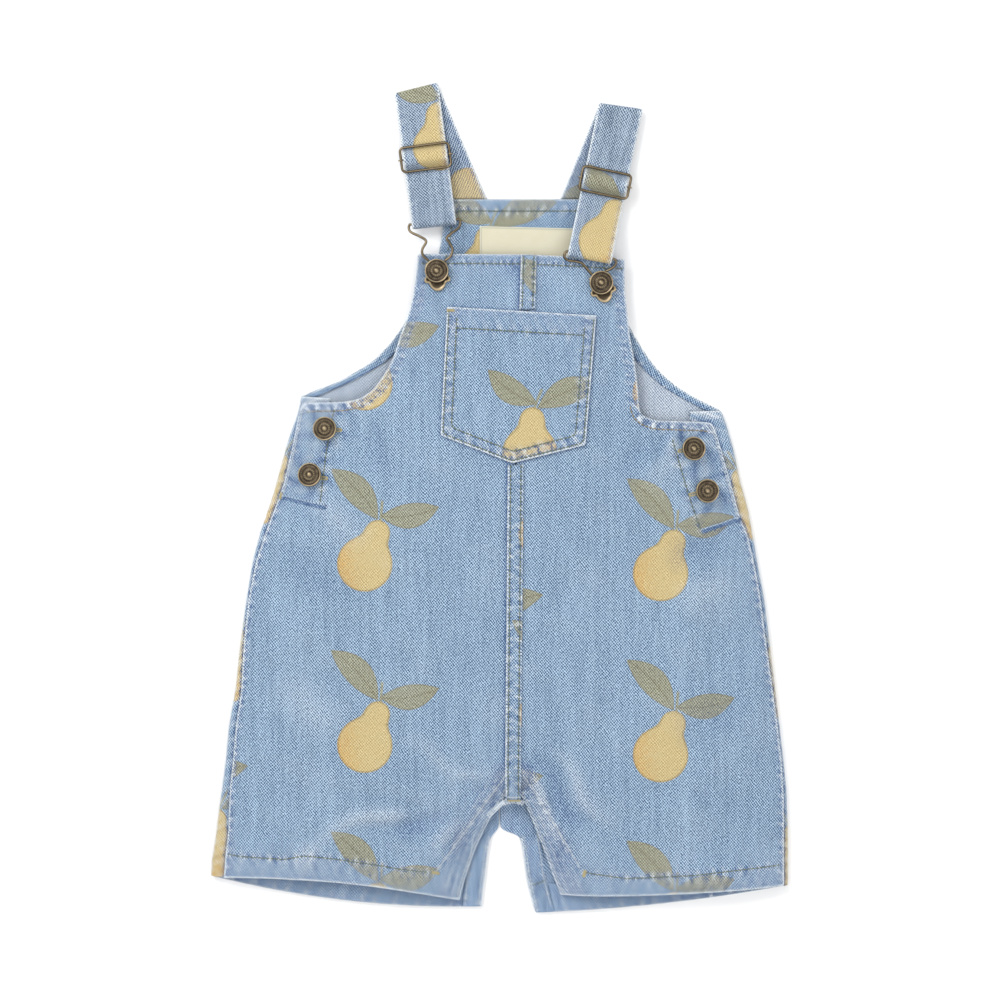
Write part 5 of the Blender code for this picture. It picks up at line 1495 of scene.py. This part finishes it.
def make_label():
    """The bare woven label on the neck facing."""
    places = quad_grid(LABEL_CORNERS, 10, 24)
    corners = np.array(LABEL_CORNERS)
    border = np.minimum.reduce([measured_from(places.reshape(-1, 2), corners[[first, last]])[0]
                                for first, last in ((0, 1), (0, 3), (1, 2))]).reshape(places.shape[:2])
    level = LINING_TOP + GAP + LABEL_THICKNESS + 0.18 * np.clip(soft_swell(places, 22.0, 40), 0.0, 1.0)
    outer = np.concatenate((places, level[..., None]), axis=2)
    shade = 0.8 * bell(border - 0.9, 0.45)
    wear = 0.9 * bell(border, 0.4)
    parts = shell_parts(outer, LABEL_THICKNESS, 1.0, wear, shade, places)
    piece = cloth_object("label_cloth", [parts], [LABEL_CREAM])
    finish_piece(piece, ["label"])
    plan_area(outer)
    return piece


SEAM_STRIPS = [make_seam_strip("front_seam_upper", SEAM_UPPER),
               make_seam_strip("front_seam_lower", SEAM_LOWER)]
POCKET = make_pocket()
LABEL = make_label()


# Straps

def strap_frame(strap):
    """The strap's start, length and directions along and across its front run."""
    start = 0.5 * (np.array(strap.fold_left) + np.array(strap.fold_right))
    end = 0.5 * (np.array(strap.end_left) + np.array(strap.end_right))
    length = np.linalg.norm(end - start)
    along = (end - start) / length
    return start, length, along, np.array((-along[1], along[0]))


def strap_height(distance, length, strap):
    """The height of the strap's front run at a distance from the shoulder."""
    slider_distance = strap.slider_distance
    top_bar = slider_distance - SLIDER_HALF_HEIGHT
    low_bar = slider_distance + SLIDER_HALF_HEIGHT
    knots = ((0.0, STRAP_SHOULDER_Z), (top_bar - 8.0, STRAP_SHOULDER_Z + 0.8),
             (top_bar - BAR_REST, STRAP_UNDER_BAR_Z), (top_bar + BAR_REST, STRAP_UNDER_BAR_Z),
             (slider_distance - BAR_REST, STRAP_OVER_BAR_Z), (slider_distance + BAR_REST, STRAP_OVER_BAR_Z),
             (low_bar - BAR_REST, STRAP_UNDER_BAR_Z), (low_bar + BAR_REST, STRAP_UNDER_BAR_Z),
             (low_bar + 7.0, STRAP_FRONT_Z), (length - strap.end_rise, STRAP_FRONT_Z), (length, strap.end_z))
    for (start, start_z), (end, end_z) in zip(knots, knots[1:]):
        if distance <= end:
            share = max(0.0, (distance - start) / (end - start))
            return start_z + (end_z - start_z) * float(smooth_step(share))
    return strap.end_z


def strap_path(strap):
    """The strap's two edges from the back over the shoulder to the clip and back."""
    start, length, along, across = strap_frame(strap)
    fold_line = np.array(strap.fold_right) - np.array(strap.fold_left)
    fold_line /= np.linalg.norm(fold_line)
    end_line = np.array(strap.end_right) - np.array(strap.end_left)
    end_line /= np.linalg.norm(end_line)
    half = 0.5 * STRAP_THICKNESS
    shoulder_radius = 0.5 * (STRAP_SHOULDER_Z - STRAP_BACK_Z)
    end_radius = 0.5 * TURN_DROP
    shoulder = shoulder_radius + half
    turn = length - end_radius - half
    low_bar = strap.slider_distance + SLIDER_HALF_HEIGHT

    def edges(distance, height):
        away = distance - strap.slider_distance
        line, reach = ((fold_line, strap.slider_distance) if away < 0.0
                       else (end_line, length - strap.slider_distance))
        slant = float(smooth_step(2.0 * abs(away) / reach - 1.0))
        direction = across + slant * (line - across)
        direction = direction * 0.5 * STRAP_WIDTH / np.dot(direction, across)
        centre = start + along * distance
        return [np.array((*(centre + direction * side), height)) for side in (-1.0, 1.0)]

    rows = []
    first = edges(shoulder, STRAP_BACK_Z)
    back = [np.array((*corner, STRAP_BACK_Z)) for corner in (strap.back_left, strap.back_right)]
    for share in np.linspace(0.0, 1.0, 46)[:-1]:
        rows.append([back[side] + share * (first[side] - back[side]) for side in (0, 1)])
    for angle in np.linspace(0.0, math.pi, 11):
        height = STRAP_BACK_Z + shoulder_radius * (1.0 - math.cos(angle))
        rows.append(edges(shoulder - shoulder_radius * math.sin(angle), height))
    for distance in np.arange(shoulder + 0.9, turn - 0.4, 0.9):
        rows.append(edges(distance, strap_height(distance, turn, strap)))
    for angle in np.linspace(0.0, math.pi, 11):
        height = strap.end_z - end_radius * (1.0 - math.cos(angle))
        rows.append(edges(turn + end_radius * math.sin(angle), height))
    for distance in np.linspace(turn, low_bar + 7.0, 26)[1:]:
        opening = float(smooth_step(1.0 - (turn - distance) / TURN_OPENING))
        drop = RETURN_DROP + (TURN_DROP - RETURN_DROP) * opening
        rows.append(edges(distance, strap_height(distance, turn, strap) - drop))
    return np.array(rows)


# Distances from a strap's edge to its middle where it has rows of points
STRAP_ACROSS = np.array((0.0, 0.12, 0.35, 0.7, 1.1, 1.6, 2.1, 2.6, 3.2, 4.0, 5.2, 6.8, 8.6, 10.4, 12.2, 14.0))


def make_strap(side, strap):
    """A doubled strap with a stitched groove along each edge."""
    path = strap_path(strap)
    middle = path.mean(axis=1)
    across = path[:, 1] - path[:, 0]
    across /= np.linalg.norm(across, axis=1)[:, None]
    along = np.gradient(middle, axis=0)
    along /= np.linalg.norm(along, axis=1)[:, None]
    up = np.cross(across, along)
    up /= np.linalg.norm(up, axis=1)[:, None]
    travelled = np.cumsum(np.pad(np.linalg.norm(np.diff(middle, axis=0), axis=1), (1, 0)))
    offsets = np.concatenate((STRAP_ACROSS, STRAP_WIDTH - STRAP_ACROSS[-2::-1]))
    from_edge = np.minimum(offsets, STRAP_WIDTH - offsets)
    half = 0.5 * STRAP_THICKNESS
    rounding = np.sqrt(np.clip(half ** 2 - np.clip(half - from_edge, 0.0, half) ** 2, 0.0, None))
    rows, columns = len(path), len(offsets)
    reach = np.linalg.norm(path[:, 1] - path[:, 0], axis=1)[:, None] * offsets[None] / STRAP_WIDTH
    spot = path[:, 0][:, None] + across[:, None] * reach[..., None]
    ripple = uneven_wave(travelled[:, None] + 0.3 * offsets, 7.0, 71 + len(side))
    groove = bell(from_edge - 2.3, 0.55)[None]
    edging = bell(from_edge - 1.6, 1.9)[None]
    soft = uneven_wave(offsets + 0.1 * travelled[:, None], 6.0, 5)
    relief = -0.16 * groove + 0.10 * edging * ripple + 0.05 * soft
    thick = rounding[None] + relief * (rounding[None] > 0.0)
    upper = spot + up[:, None] * thick[..., None]
    lower = spot - up[:, None] * (rounding[None] + 0.3 * relief * (rounding[None] > 0.0))[..., None]
    ring = np.concatenate((upper, lower[:, -2:0:-1]), axis=1)
    wear_row = 0.85 * bell(from_edge - 0.3, 0.8)[None] + 0.10 * edging * (1.0 + ripple)
    # Painted shade in the stitch grooves and in the puckers' hollows; the run down the back is made darker
    # all along
    shade_row = 0.30 * groove + 0.28 * edging * np.clip(-ripple, 0.0, 1.0) + 0.0 * travelled[:, None]
    uv_row = np.stack((offsets[None] + 0.0 * travelled[:, None], -travelled[:, None] + 0.0 * offsets[None]),
                      axis=2)
    back_run = travelled < travelled[45]
    shade_row = shade_row + np.where(back_run, 0.28, 0.0)[:, None]

    def round_ring(values):
        return np.concatenate((values, values[:, -2:0:-1]), axis=1)

    wear, shade, uv = (round_ring(values) for values in (wear_row, shade_row, uv_row))
    around = ring.shape[1]
    index = np.arange(rows * around).reshape(rows, around)
    faces = ring_faces(index[:-1], index[1:], flipped=True)
    for row, turned in ((0, False), (rows - 1, True)):
        for column in range(columns - 1):
            under = (around - column) % around
            under_next = around - column - 1
            corners = [index[row, column], index[row, column + 1], index[row, under_next], index[row, under]]
            if column == 0:
                corners = [index[row, 0], index[row, 1], index[row, around - 1], index[row, around - 1]]
            elif column == columns - 2:
                corners = [index[row, column], index[row, column + 1], index[row, under], index[row, under]]
            face = corners[::-1] if turned else corners
            faces.append(sorted(set(face), key=face.index))

    piece = linked_object("strap_" + side + "_cloth", ring.reshape(-1, 3), faces, [DENIM_STRAP])
    add_cloth_uv(piece.data, cloth_uv("strap_" + side, uv.reshape(-1, 2)))
    add_values(piece.data, wear=wear.ravel(), shade=shade.ravel())
    piece.data.validate()
    finish_piece(piece, ["strap_" + side])


for strap_side, strap_places in STRAPS.items():
    make_strap(strap_side, strap_places)


# Metal

def metal_object(name, vertices, faces, rubbed, nodes):
    """A piece of antique brass with how worn to gold it is at each point, and any painted highlight."""
    piece = linked_object(name, vertices, faces, [BRASS])
    add_values(piece.data, rubbed=rubbed)
    finish_piece(piece, nodes)


def joined(parts):
    """Several bodies' vertices, faces and values as one."""
    vertices, faces, values = [], [], []
    start = 0
    for part_vertices, part_faces, part_values in parts:
        vertices.append(part_vertices)
        faces.extend([index + start for index in face] for face in part_faces)
        values.append(part_values)
        start += len(part_vertices)
    return np.concatenate(vertices), faces, np.concatenate(values)


def make_slider(side, strap):
    """A slider's wire frame, its middle bar and the two small eyes that hold the bar."""
    start, _, along, across = strap_frame(strap)
    centre = start + along * strap.slider_distance
    corner = SLIDER_CORNER
    outline = []
    for sign_x, sign_y, first in ((1, 1, 0.0), (-1, 1, 90.0), (-1, -1, 180.0), (1, -1, 270.0)):
        for step in range(7):
            angle = math.radians(first + 15.0 * step)
            offset_x = sign_x * (SLIDER_HALF_WIDTH - corner) + corner * math.cos(angle)
            offset_y = sign_y * (SLIDER_HALF_HEIGHT - corner) + corner * math.sin(angle)
            outline.append(np.array((*(centre + across * offset_x - along * offset_y), SLIDER_Z)))
    wire = resampled(np.array(outline + outline[:1]), 0.8)[:-1]
    metal_object("slider_frame_" + side, *tube_parts(wire, WIRE_RADIUS, 16, True), ["slider_" + side])

    reach = SLIDER_HALF_WIDTH - WIRE_RADIUS - GAP
    ends = np.array([(*(centre + across * sign * reach), SLIDER_Z) for sign in (-1, 1)])
    bar = tube_parts(resampled(ends, 2.0), WIRE_RADIUS, 14, False)
    parts = [bar]
    for sign in (-1, 1):
        hub = centre + across * sign * (SLIDER_HALF_WIDTH + 0.2)
        eye = []
        for step in range(18):
            angle = 2.0 * math.pi * step / 18.0
            swing = across * math.cos(angle) * EYE_RADIUS
            eye.append((*(hub + swing), SLIDER_Z + EYE_RADIUS * math.sin(angle)))
        parts.append(eye_parts(np.array(eye), EYE_WIRE_RADIUS, np.array((*along, 0.0))))
    metal_object("slider_cross_bar_" + side, *joined(parts), ["slider_bar_" + side])


def eye_parts(line, radius, axle):
    """A small ring of wire round an axle."""
    centre = line.mean(axis=0)
    outward = line - centre
    outward /= np.linalg.norm(outward, axis=1)[:, None]
    sides = 10
    angles = np.arange(sides) * 2.0 * math.pi / sides
    circle = np.cos(angles)[None, :, None] * outward[:, None] + np.sin(angles)[None, :, None] * axle
    vertices = (line[:, None] + radius * circle).reshape(-1, 3)
    index = np.arange(len(line) * sides).reshape(len(line), sides)
    return vertices, ring_faces(index, np.roll(index, -1, axis=0)), np.full(len(vertices), 0.6)


# The plate's section from its hole outwards: distance from the hole or from the outline, height
# above the plate's foot, and how worn to gold it is
PLATE_PROFILE = (
    (0.0, None, 0.25, 0.5), (0.2, None, 0.75, 0.8), (0.5, None, 0.78, 0.2), (None, 2.0, 0.72, 0.15),
    (None, 1.5, 0.95, 0.7), (None, 1.0, 1.12, 1.0), (None, 0.5, 1.05, 0.9), (None, 0.12, 0.8, 0.8),
    (None, 0.0, 0.5, 0.5), (None, 0.1, 0.2, 0.3), (None, 0.5, 0.0, 0.2), (0.2, None, 0.0, 0.2),
)


def make_clip(side, points):
    """A clip's bent wire and the keyhole plate with a raised rim that hooks over the button."""
    points = np.array(points)
    straight = CLIP_STRAIGHT_RUN[side]
    first = smooth_line(points[:straight + 1], False, 6)
    last = smooth_line(points[straight + 1:], False, 6)
    run = np.linspace(points[straight], points[straight + 1], 12)[1:-1]
    wire = np.concatenate((first, run, last))
    metal_object("clip_loop_" + side, *tube_parts(wire, WIRE_RADIUS, 14, False), ["clip_wire_" + side])

    outline = list(PLATE_SIDE) + [(0.0, -12.6)] + [(-x, y) for x, y in reversed(PLATE_SIDE)]
    outline = smooth_line(outline, True, 6)
    outline = outline[np.argsort(np.arctan2(outline[:, 1], outline[:, 0]))]
    direction = outline / np.linalg.norm(outline, axis=1)[:, None]
    reach = np.linalg.norm(outline, axis=1) - PLATE_HOLE_RADIUS
    place = BIB_BUTTONS[side]
    turn = PLATE_TURN[side]
    rings = []
    rubbed = []
    for beyond_hole, inward, level, shine in PLATE_PROFILE:
        if inward is None:
            radius = np.full(len(outline), PLATE_HOLE_RADIUS + beyond_hole)
        else:
            radius = PLATE_HOLE_RADIUS + np.maximum(reach - inward, 0.7)
        flat = direction * radius[:, None]
        turned_x = flat[:, 0] * math.cos(turn) - flat[:, 1] * math.sin(turn) + place.x
        turned_y = flat[:, 0] * math.sin(turn) + flat[:, 1] * math.cos(turn) + place.y
        rings.append(np.stack((turned_x, turned_y, np.full(len(flat), PLATE_Z + level)), axis=1))
        rubbed.append(np.full(len(flat), shine))
    vertices = np.concatenate(rings)
    around = len(outline)
    index = np.arange(len(vertices)).reshape(len(PLATE_PROFILE), around)
    faces = ring_faces(index, np.roll(index, -1, axis=0), flipped=True)
    metal_object("clip_keyhole_" + side, vertices, faces, np.concatenate(rubbed), ["clip_plate_" + side])


# A button's face: radius, height over the head's foot, how worn to gold it is, and how far in its rope is cut
FacePoint = namedtuple("FacePoint", "radius height rubbed rope")
BUTTON_FACE = [FacePoint(*row) for row in (
    (0.0, 3.30, 0.60, 0.0), (0.6, 3.28, 0.60, 0.0), (1.1, 3.15, 0.42, 0.0), (1.5, 2.85, 0.20, 0.0),
    (1.75, 2.60, 0.06, 0.0), (2.1, 2.55, 0.06, 0.0), (2.35, 2.70, 0.16, 0.12), (2.7, 2.85, 0.28, 0.20),
    (3.1, 2.90, 0.30, 0.22), (3.5, 2.80, 0.20, 0.16), (3.8, 2.62, 0.08, 0.04), (4.1, 2.50, 0.04, 0.0),
    (4.6, 2.48, 0.04, 0.0), (4.9, 2.56, 0.12, 0.08), (5.3, 2.62, 0.15, 0.12), (5.7, 2.56, 0.10, 0.08),
    (6.0, 2.48, 0.03, 0.0), (6.4, 2.50, 0.04, 0.0), (6.7, 2.75, 0.22, 0.0), (6.95, 2.95, 0.80, 0.0),
    (7.15, 2.95, 0.95, 0.0), (7.35, 2.72, 0.60, 0.0), (7.5, 2.20, 0.28, 0.0), (7.5, 1.50, 0.22, 0.0),
    (7.35, 0.95, 0.15, 0.0), (7.0, 0.45, 0.10, 0.0), (6.4, 0.10, 0.10, 0.0), (5.0, 0.0, 0.05, 0.0),
    (2.5, 0.0, 0.05, 0.0))]
BUTTON_SIDES = 96
ROPE_TURNS = 16
OUTER_ROPE_TURNS = 28


def make_button(name, foot, normal, shank):
    """A shank button with a roped ring round its boss, a notched outer ring and a rolled rim."""
    angles = np.arange(BUTTON_SIDES) * 2.0 * math.pi / BUTTON_SIDES
    rings = []
    rubbed = []
    for point in BUTTON_FACE:
        turns = ROPE_TURNS if point.radius < 4.0 else OUTER_ROPE_TURNS
        rope = point.rope * np.sin(turns * angles + 1.6 * point.radius)
        level = shank + point.height + rope
        rings.append(np.stack((point.radius * np.cos(angles), point.radius * np.sin(angles), level), axis=1))
        rubbed.append(point.rubbed + 1.1 * rope)
    for level in (shank, 0.0):
        rings.append(np.stack((SHANK_RADIUS * np.cos(angles), SHANK_RADIUS * np.sin(angles),
                               np.full(BUTTON_SIDES, level)), axis=1))
        rubbed.append(np.full(BUTTON_SIDES, 0.1))
    rings = rings[1:-2] + [rings[-1]]
    rubbed = rubbed[1:-2] + [rubbed[-1]]
    across = np.cross(np.array((0.0, 1.0, 0.0)), normal)
    across /= np.linalg.norm(across)
    up = np.cross(normal, across)
    basis = np.stack((across, up, normal), axis=1)
    vertices = np.concatenate(rings + [np.array(((0.0, 0.0, shank + BUTTON_HEAD), (0.0, 0.0, 0.0)))])
    vertices = vertices @ basis.T + foot
    index = np.arange(len(rings) * BUTTON_SIDES).reshape(len(rings), BUTTON_SIDES)
    faces = ring_faces(index[:-1], index[1:], flipped=True)
    top, low = len(rings) * BUTTON_SIDES, len(rings) * BUTTON_SIDES + 1
    for column in range(BUTTON_SIDES):
        following = (column + 1) % BUTTON_SIDES
        faces.append([top, index[0, column], index[0, following]])
        faces.append([low, index[-1, following], index[-1, column]])
    metal_object(name + "_turned", vertices, faces, np.concatenate(rubbed + [np.array((0.75, 0.1))]), [name])


for side, strap in STRAPS.items():
    make_slider(side, strap)
    make_clip(side, CLIP_WIRES[side])

for side, place in BIB_BUTTONS.items():
    foot = height_on(front_tree, place.x, place.y) + GAP
    head = PLATE_Z + PLATE_THICKNESS + GAP
    seat = np.array((place.x, place.y, foot))
    make_button("bib_button_" + side, seat, np.array((0.0, 0.0, 1.0)), head - foot)

for side, place in SIDE_BUTTONS.items():
    reach = 0.8 * BUTTON_RADIUS
    slope_x = (height_on(front_tree, place.x + reach, place.y)
               - height_on(front_tree, place.x - reach, place.y))
    slope_y = (height_on(front_tree, place.x, place.y + reach)
               - height_on(front_tree, place.x, place.y - reach))
    normal = np.array((-slope_x / (2.0 * reach), -slope_y / (2.0 * reach), 1.0))
    normal /= np.linalg.norm(normal)
    seat = np.array((place.x, place.y, height_on(front_tree, place.x, place.y)))
    make_button("side_button_" + side, seat + normal * (GAP + 0.2), normal, 1.1)


# Sewing

cloth_tree = surface_tree([*FRONT_PIECES, POCKET, LABEL, *SEAM_STRIPS, *LININGS, *BACKS])
STITCH_PITCH = 2.7
STITCH_LENGTH = 2.35
THREAD_RADIUS = 0.42


def stitch_parts(start, end, radius):
    """One stitch: a short length of thread whose ends dip into the cloth."""
    shares = (0.0, 0.16, 0.5, 0.84, 1.0)
    fatness = (0.45, 0.95, 1.0, 0.95, 0.45)
    dips = (-0.55, 0.05, 0.45, 0.05, -0.55)
    line = np.array([start + (end - start) * share + np.array((0.0, 0.0, dip * radius * 1.6))
                     for share, dip in zip(shares, dips)])
    return tube_parts(line, np.array(fatness) * radius, 6, False)


def sewn_parts(lines):
    """Rows of stitches along some lines, laid on the cloth."""
    parts = []
    for line in lines:
        lengths = np.linalg.norm(np.diff(line, axis=0), axis=1)
        travelled = np.concatenate(([0.0], np.cumsum(lengths)))
        for begin in np.arange(0.4, travelled[-1] - STITCH_LENGTH, STITCH_PITCH):
            ends = []
            for distance in (begin, begin + STITCH_LENGTH):
                x = float(np.interp(distance, travelled, line[:, 0]))
                y = float(np.interp(distance, travelled, line[:, 1]))
                ends.append((x, y, height_on(cloth_tree, x, y)))
            if all(point[2] is not None for point in ends) and abs(ends[0][2] - ends[1][2]) < 1.5:
                parts.append(stitch_parts(np.array(ends[0]), np.array(ends[1]), THREAD_RADIUS))
    return parts


# Bar tacks: middle, the bar's angle in degrees and its length, the stitches' width and colour
BarTack = namedtuple("BarTack", "x y angle length width thread")
BAR_TACKS = [BarTack(*row) for row in (
    (-40.0, -235.4, -12.0, 5.0, 2.0, "yellow"),
    (53.5, -235.5, 75.0, 4.5, 2.2, "yellow"),
    (-30.5, 118.6, 0.0, 5.0, 2.0, "yellow"),
    (58.0, 113.8, 0.0, 5.0, 2.0, "pale"),
    (9.0, -187.6, 0.0, 8.0, 1.1, "pale"),
    (9.5, -189.6, 0.0, 8.0, 1.1, "yellow"),
    (-138.0, 2.2, 75.0, 4.0, 1.8, "yellow"),
)]

# Buttonholes: the end that shows beside the button, and the direction in which the hole runs
Buttonhole = namedtuple("Buttonhole", "x y angle length")
BUTTONHOLES = [Buttonhole(*row) for row in (
    (-99.4, 43.4, 180.0, 15.0), (-108.3, 13.0, 176.0, 15.0),
    (112.4, 30.0, 14.0, 16.0), (119.4, 2.5, 14.0, 16.0),
)]


def short_thread(middle, direction, length, radius):
    """A thread across a place, laid on the cloth, or nothing off the cloth."""
    start = middle - 0.5 * length * direction
    end = middle + 0.5 * length * direction
    heights = [height_on(cloth_tree, spot[0], spot[1]) for spot in (start, end)]
    if None in heights:
        return []
    level = max(heights) + 0.12
    return [stitch_parts(np.array((*start, level)), np.array((*end, level)), radius)]


def directions(degrees):
    """The direction at an angle, and the one to its left."""
    angle = math.radians(degrees)
    along = np.array((math.cos(angle), math.sin(angle)))
    return along, np.array((-along[1], along[0]))


def bar_tack_parts(tack):
    """Close stitches side by side along a short bar."""
    along, across = directions(tack.angle)
    parts = []
    for offset in np.arange(-0.5 * tack.length, 0.5 * tack.length, 0.5):
        parts.extend(short_thread(np.array((tack.x, tack.y)) + along * offset, across, tack.width, 0.28))
    return parts


def buttonhole_parts(hole):
    """Stitches all round a slit."""
    along, across = directions(hole.angle)
    tip = np.array((hole.x, hole.y))
    parts = []
    for offset in np.arange(0.8, hole.length, 0.5):
        for sign in (-1.0, 1.0):
            parts.extend(short_thread(tip + along * offset + across * sign * 0.75, across, 1.1, 0.24))
    for fan in np.arange(-1.2, 1.3, 0.4):
        direction = -along * math.cos(fan) + across * math.sin(fan)
        parts.extend(short_thread(tip + along * 0.8 + direction * 0.75, direction, 1.1, 0.24))
    return parts


def make_threads():
    """All stitches, one joined mesh for each colour of thread."""
    for label, lines in STITCH_LINES.items():
        parts = sewn_parts(lines)
        for tack in BAR_TACKS:
            if tack.thread == label:
                parts.extend(bar_tack_parts(tack))
        if label == "yellow":
            for hole in BUTTONHOLES:
                parts.extend(buttonhole_parts(hole))
        vertices, faces, _ = joined(parts)
        finish_piece(linked_object("stitches_" + label, vertices, faces, [THREADS[label]]), [])


make_threads()


# Stage, light and camera

def make_floor():
    """A plain pale floor, wide enough for every view."""
    shade = Shade("pale_floor")
    grain = shade.noise(shade.add("ShaderNodeTexCoord", output=3), 30.0, 3.0)
    shade.set(Base_Color=shade.mixed(grain, (0.93, 0.93, 0.93), (0.95, 0.95, 0.95)), Roughness=0.9)
    mesh = bpy.data.meshes.new("floor")
    half = 4.0
    mesh.from_pydata([(-half, -half, 0.0), (half, -half, 0.0), (half, half, 0.0), (-half, half, 0.0)], [],
                     [(0, 1, 2, 3)])
    mesh.materials.append(shade.material)
    floor = bpy.data.objects.new("floor", mesh)
    bpy.context.scene.collection.objects.link(floor)
    floor.location.z = -0.0002


def add_area_light(name, place, target, size, power):
    """A square soft light that faces a target."""
    light = bpy.data.lights.new(name, "AREA")
    light.shape = "SQUARE"
    light.size = size
    light.energy = power
    lamp = bpy.data.objects.new(name, light)
    bpy.context.scene.collection.objects.link(lamp)
    lamp.location = place
    lamp.rotation_euler = (Vector(target) - Vector(place)).to_track_quat("-Z", "Y").to_euler()


def make_stage():
    """The floor, a bright even sky, a large soft light from the upper left and the camera."""
    make_floor()
    world = bpy.data.worlds.new("studio")
    bpy.context.scene.world = world
    world.use_nodes = True
    background = world.node_tree.nodes["Background"]
    background.inputs["Color"].default_value = (1.0, 1.0, 1.0, 1.0)
    background.inputs["Strength"].default_value = 0.80
    add_area_light("key_light", (-0.9, 1.0, 1.2), (0.0, 0.0, 0.0), 0.8, 18.0)
    add_area_light("fill_light", (0.9, -0.6, 1.9), (0.0, 0.0, 0.0), 1.6, 15.0)

    frame_width = 0.63
    distance = 1.85
    garment_height = 0.009
    camera_data = bpy.data.cameras.new("camera")
    camera_data.sensor_width = 36.0
    camera_data.lens = camera_data.sensor_width * distance / frame_width
    camera_data.clip_end = 20.0
    camera = bpy.data.objects.new("camera", camera_data)
    bpy.context.scene.collection.objects.link(camera)
    camera.location = (0.0003, -0.0006, garment_height + distance)
    bpy.context.scene.camera = camera
    bpy.context.scene.view_settings.view_transform = "Standard"


make_stage()
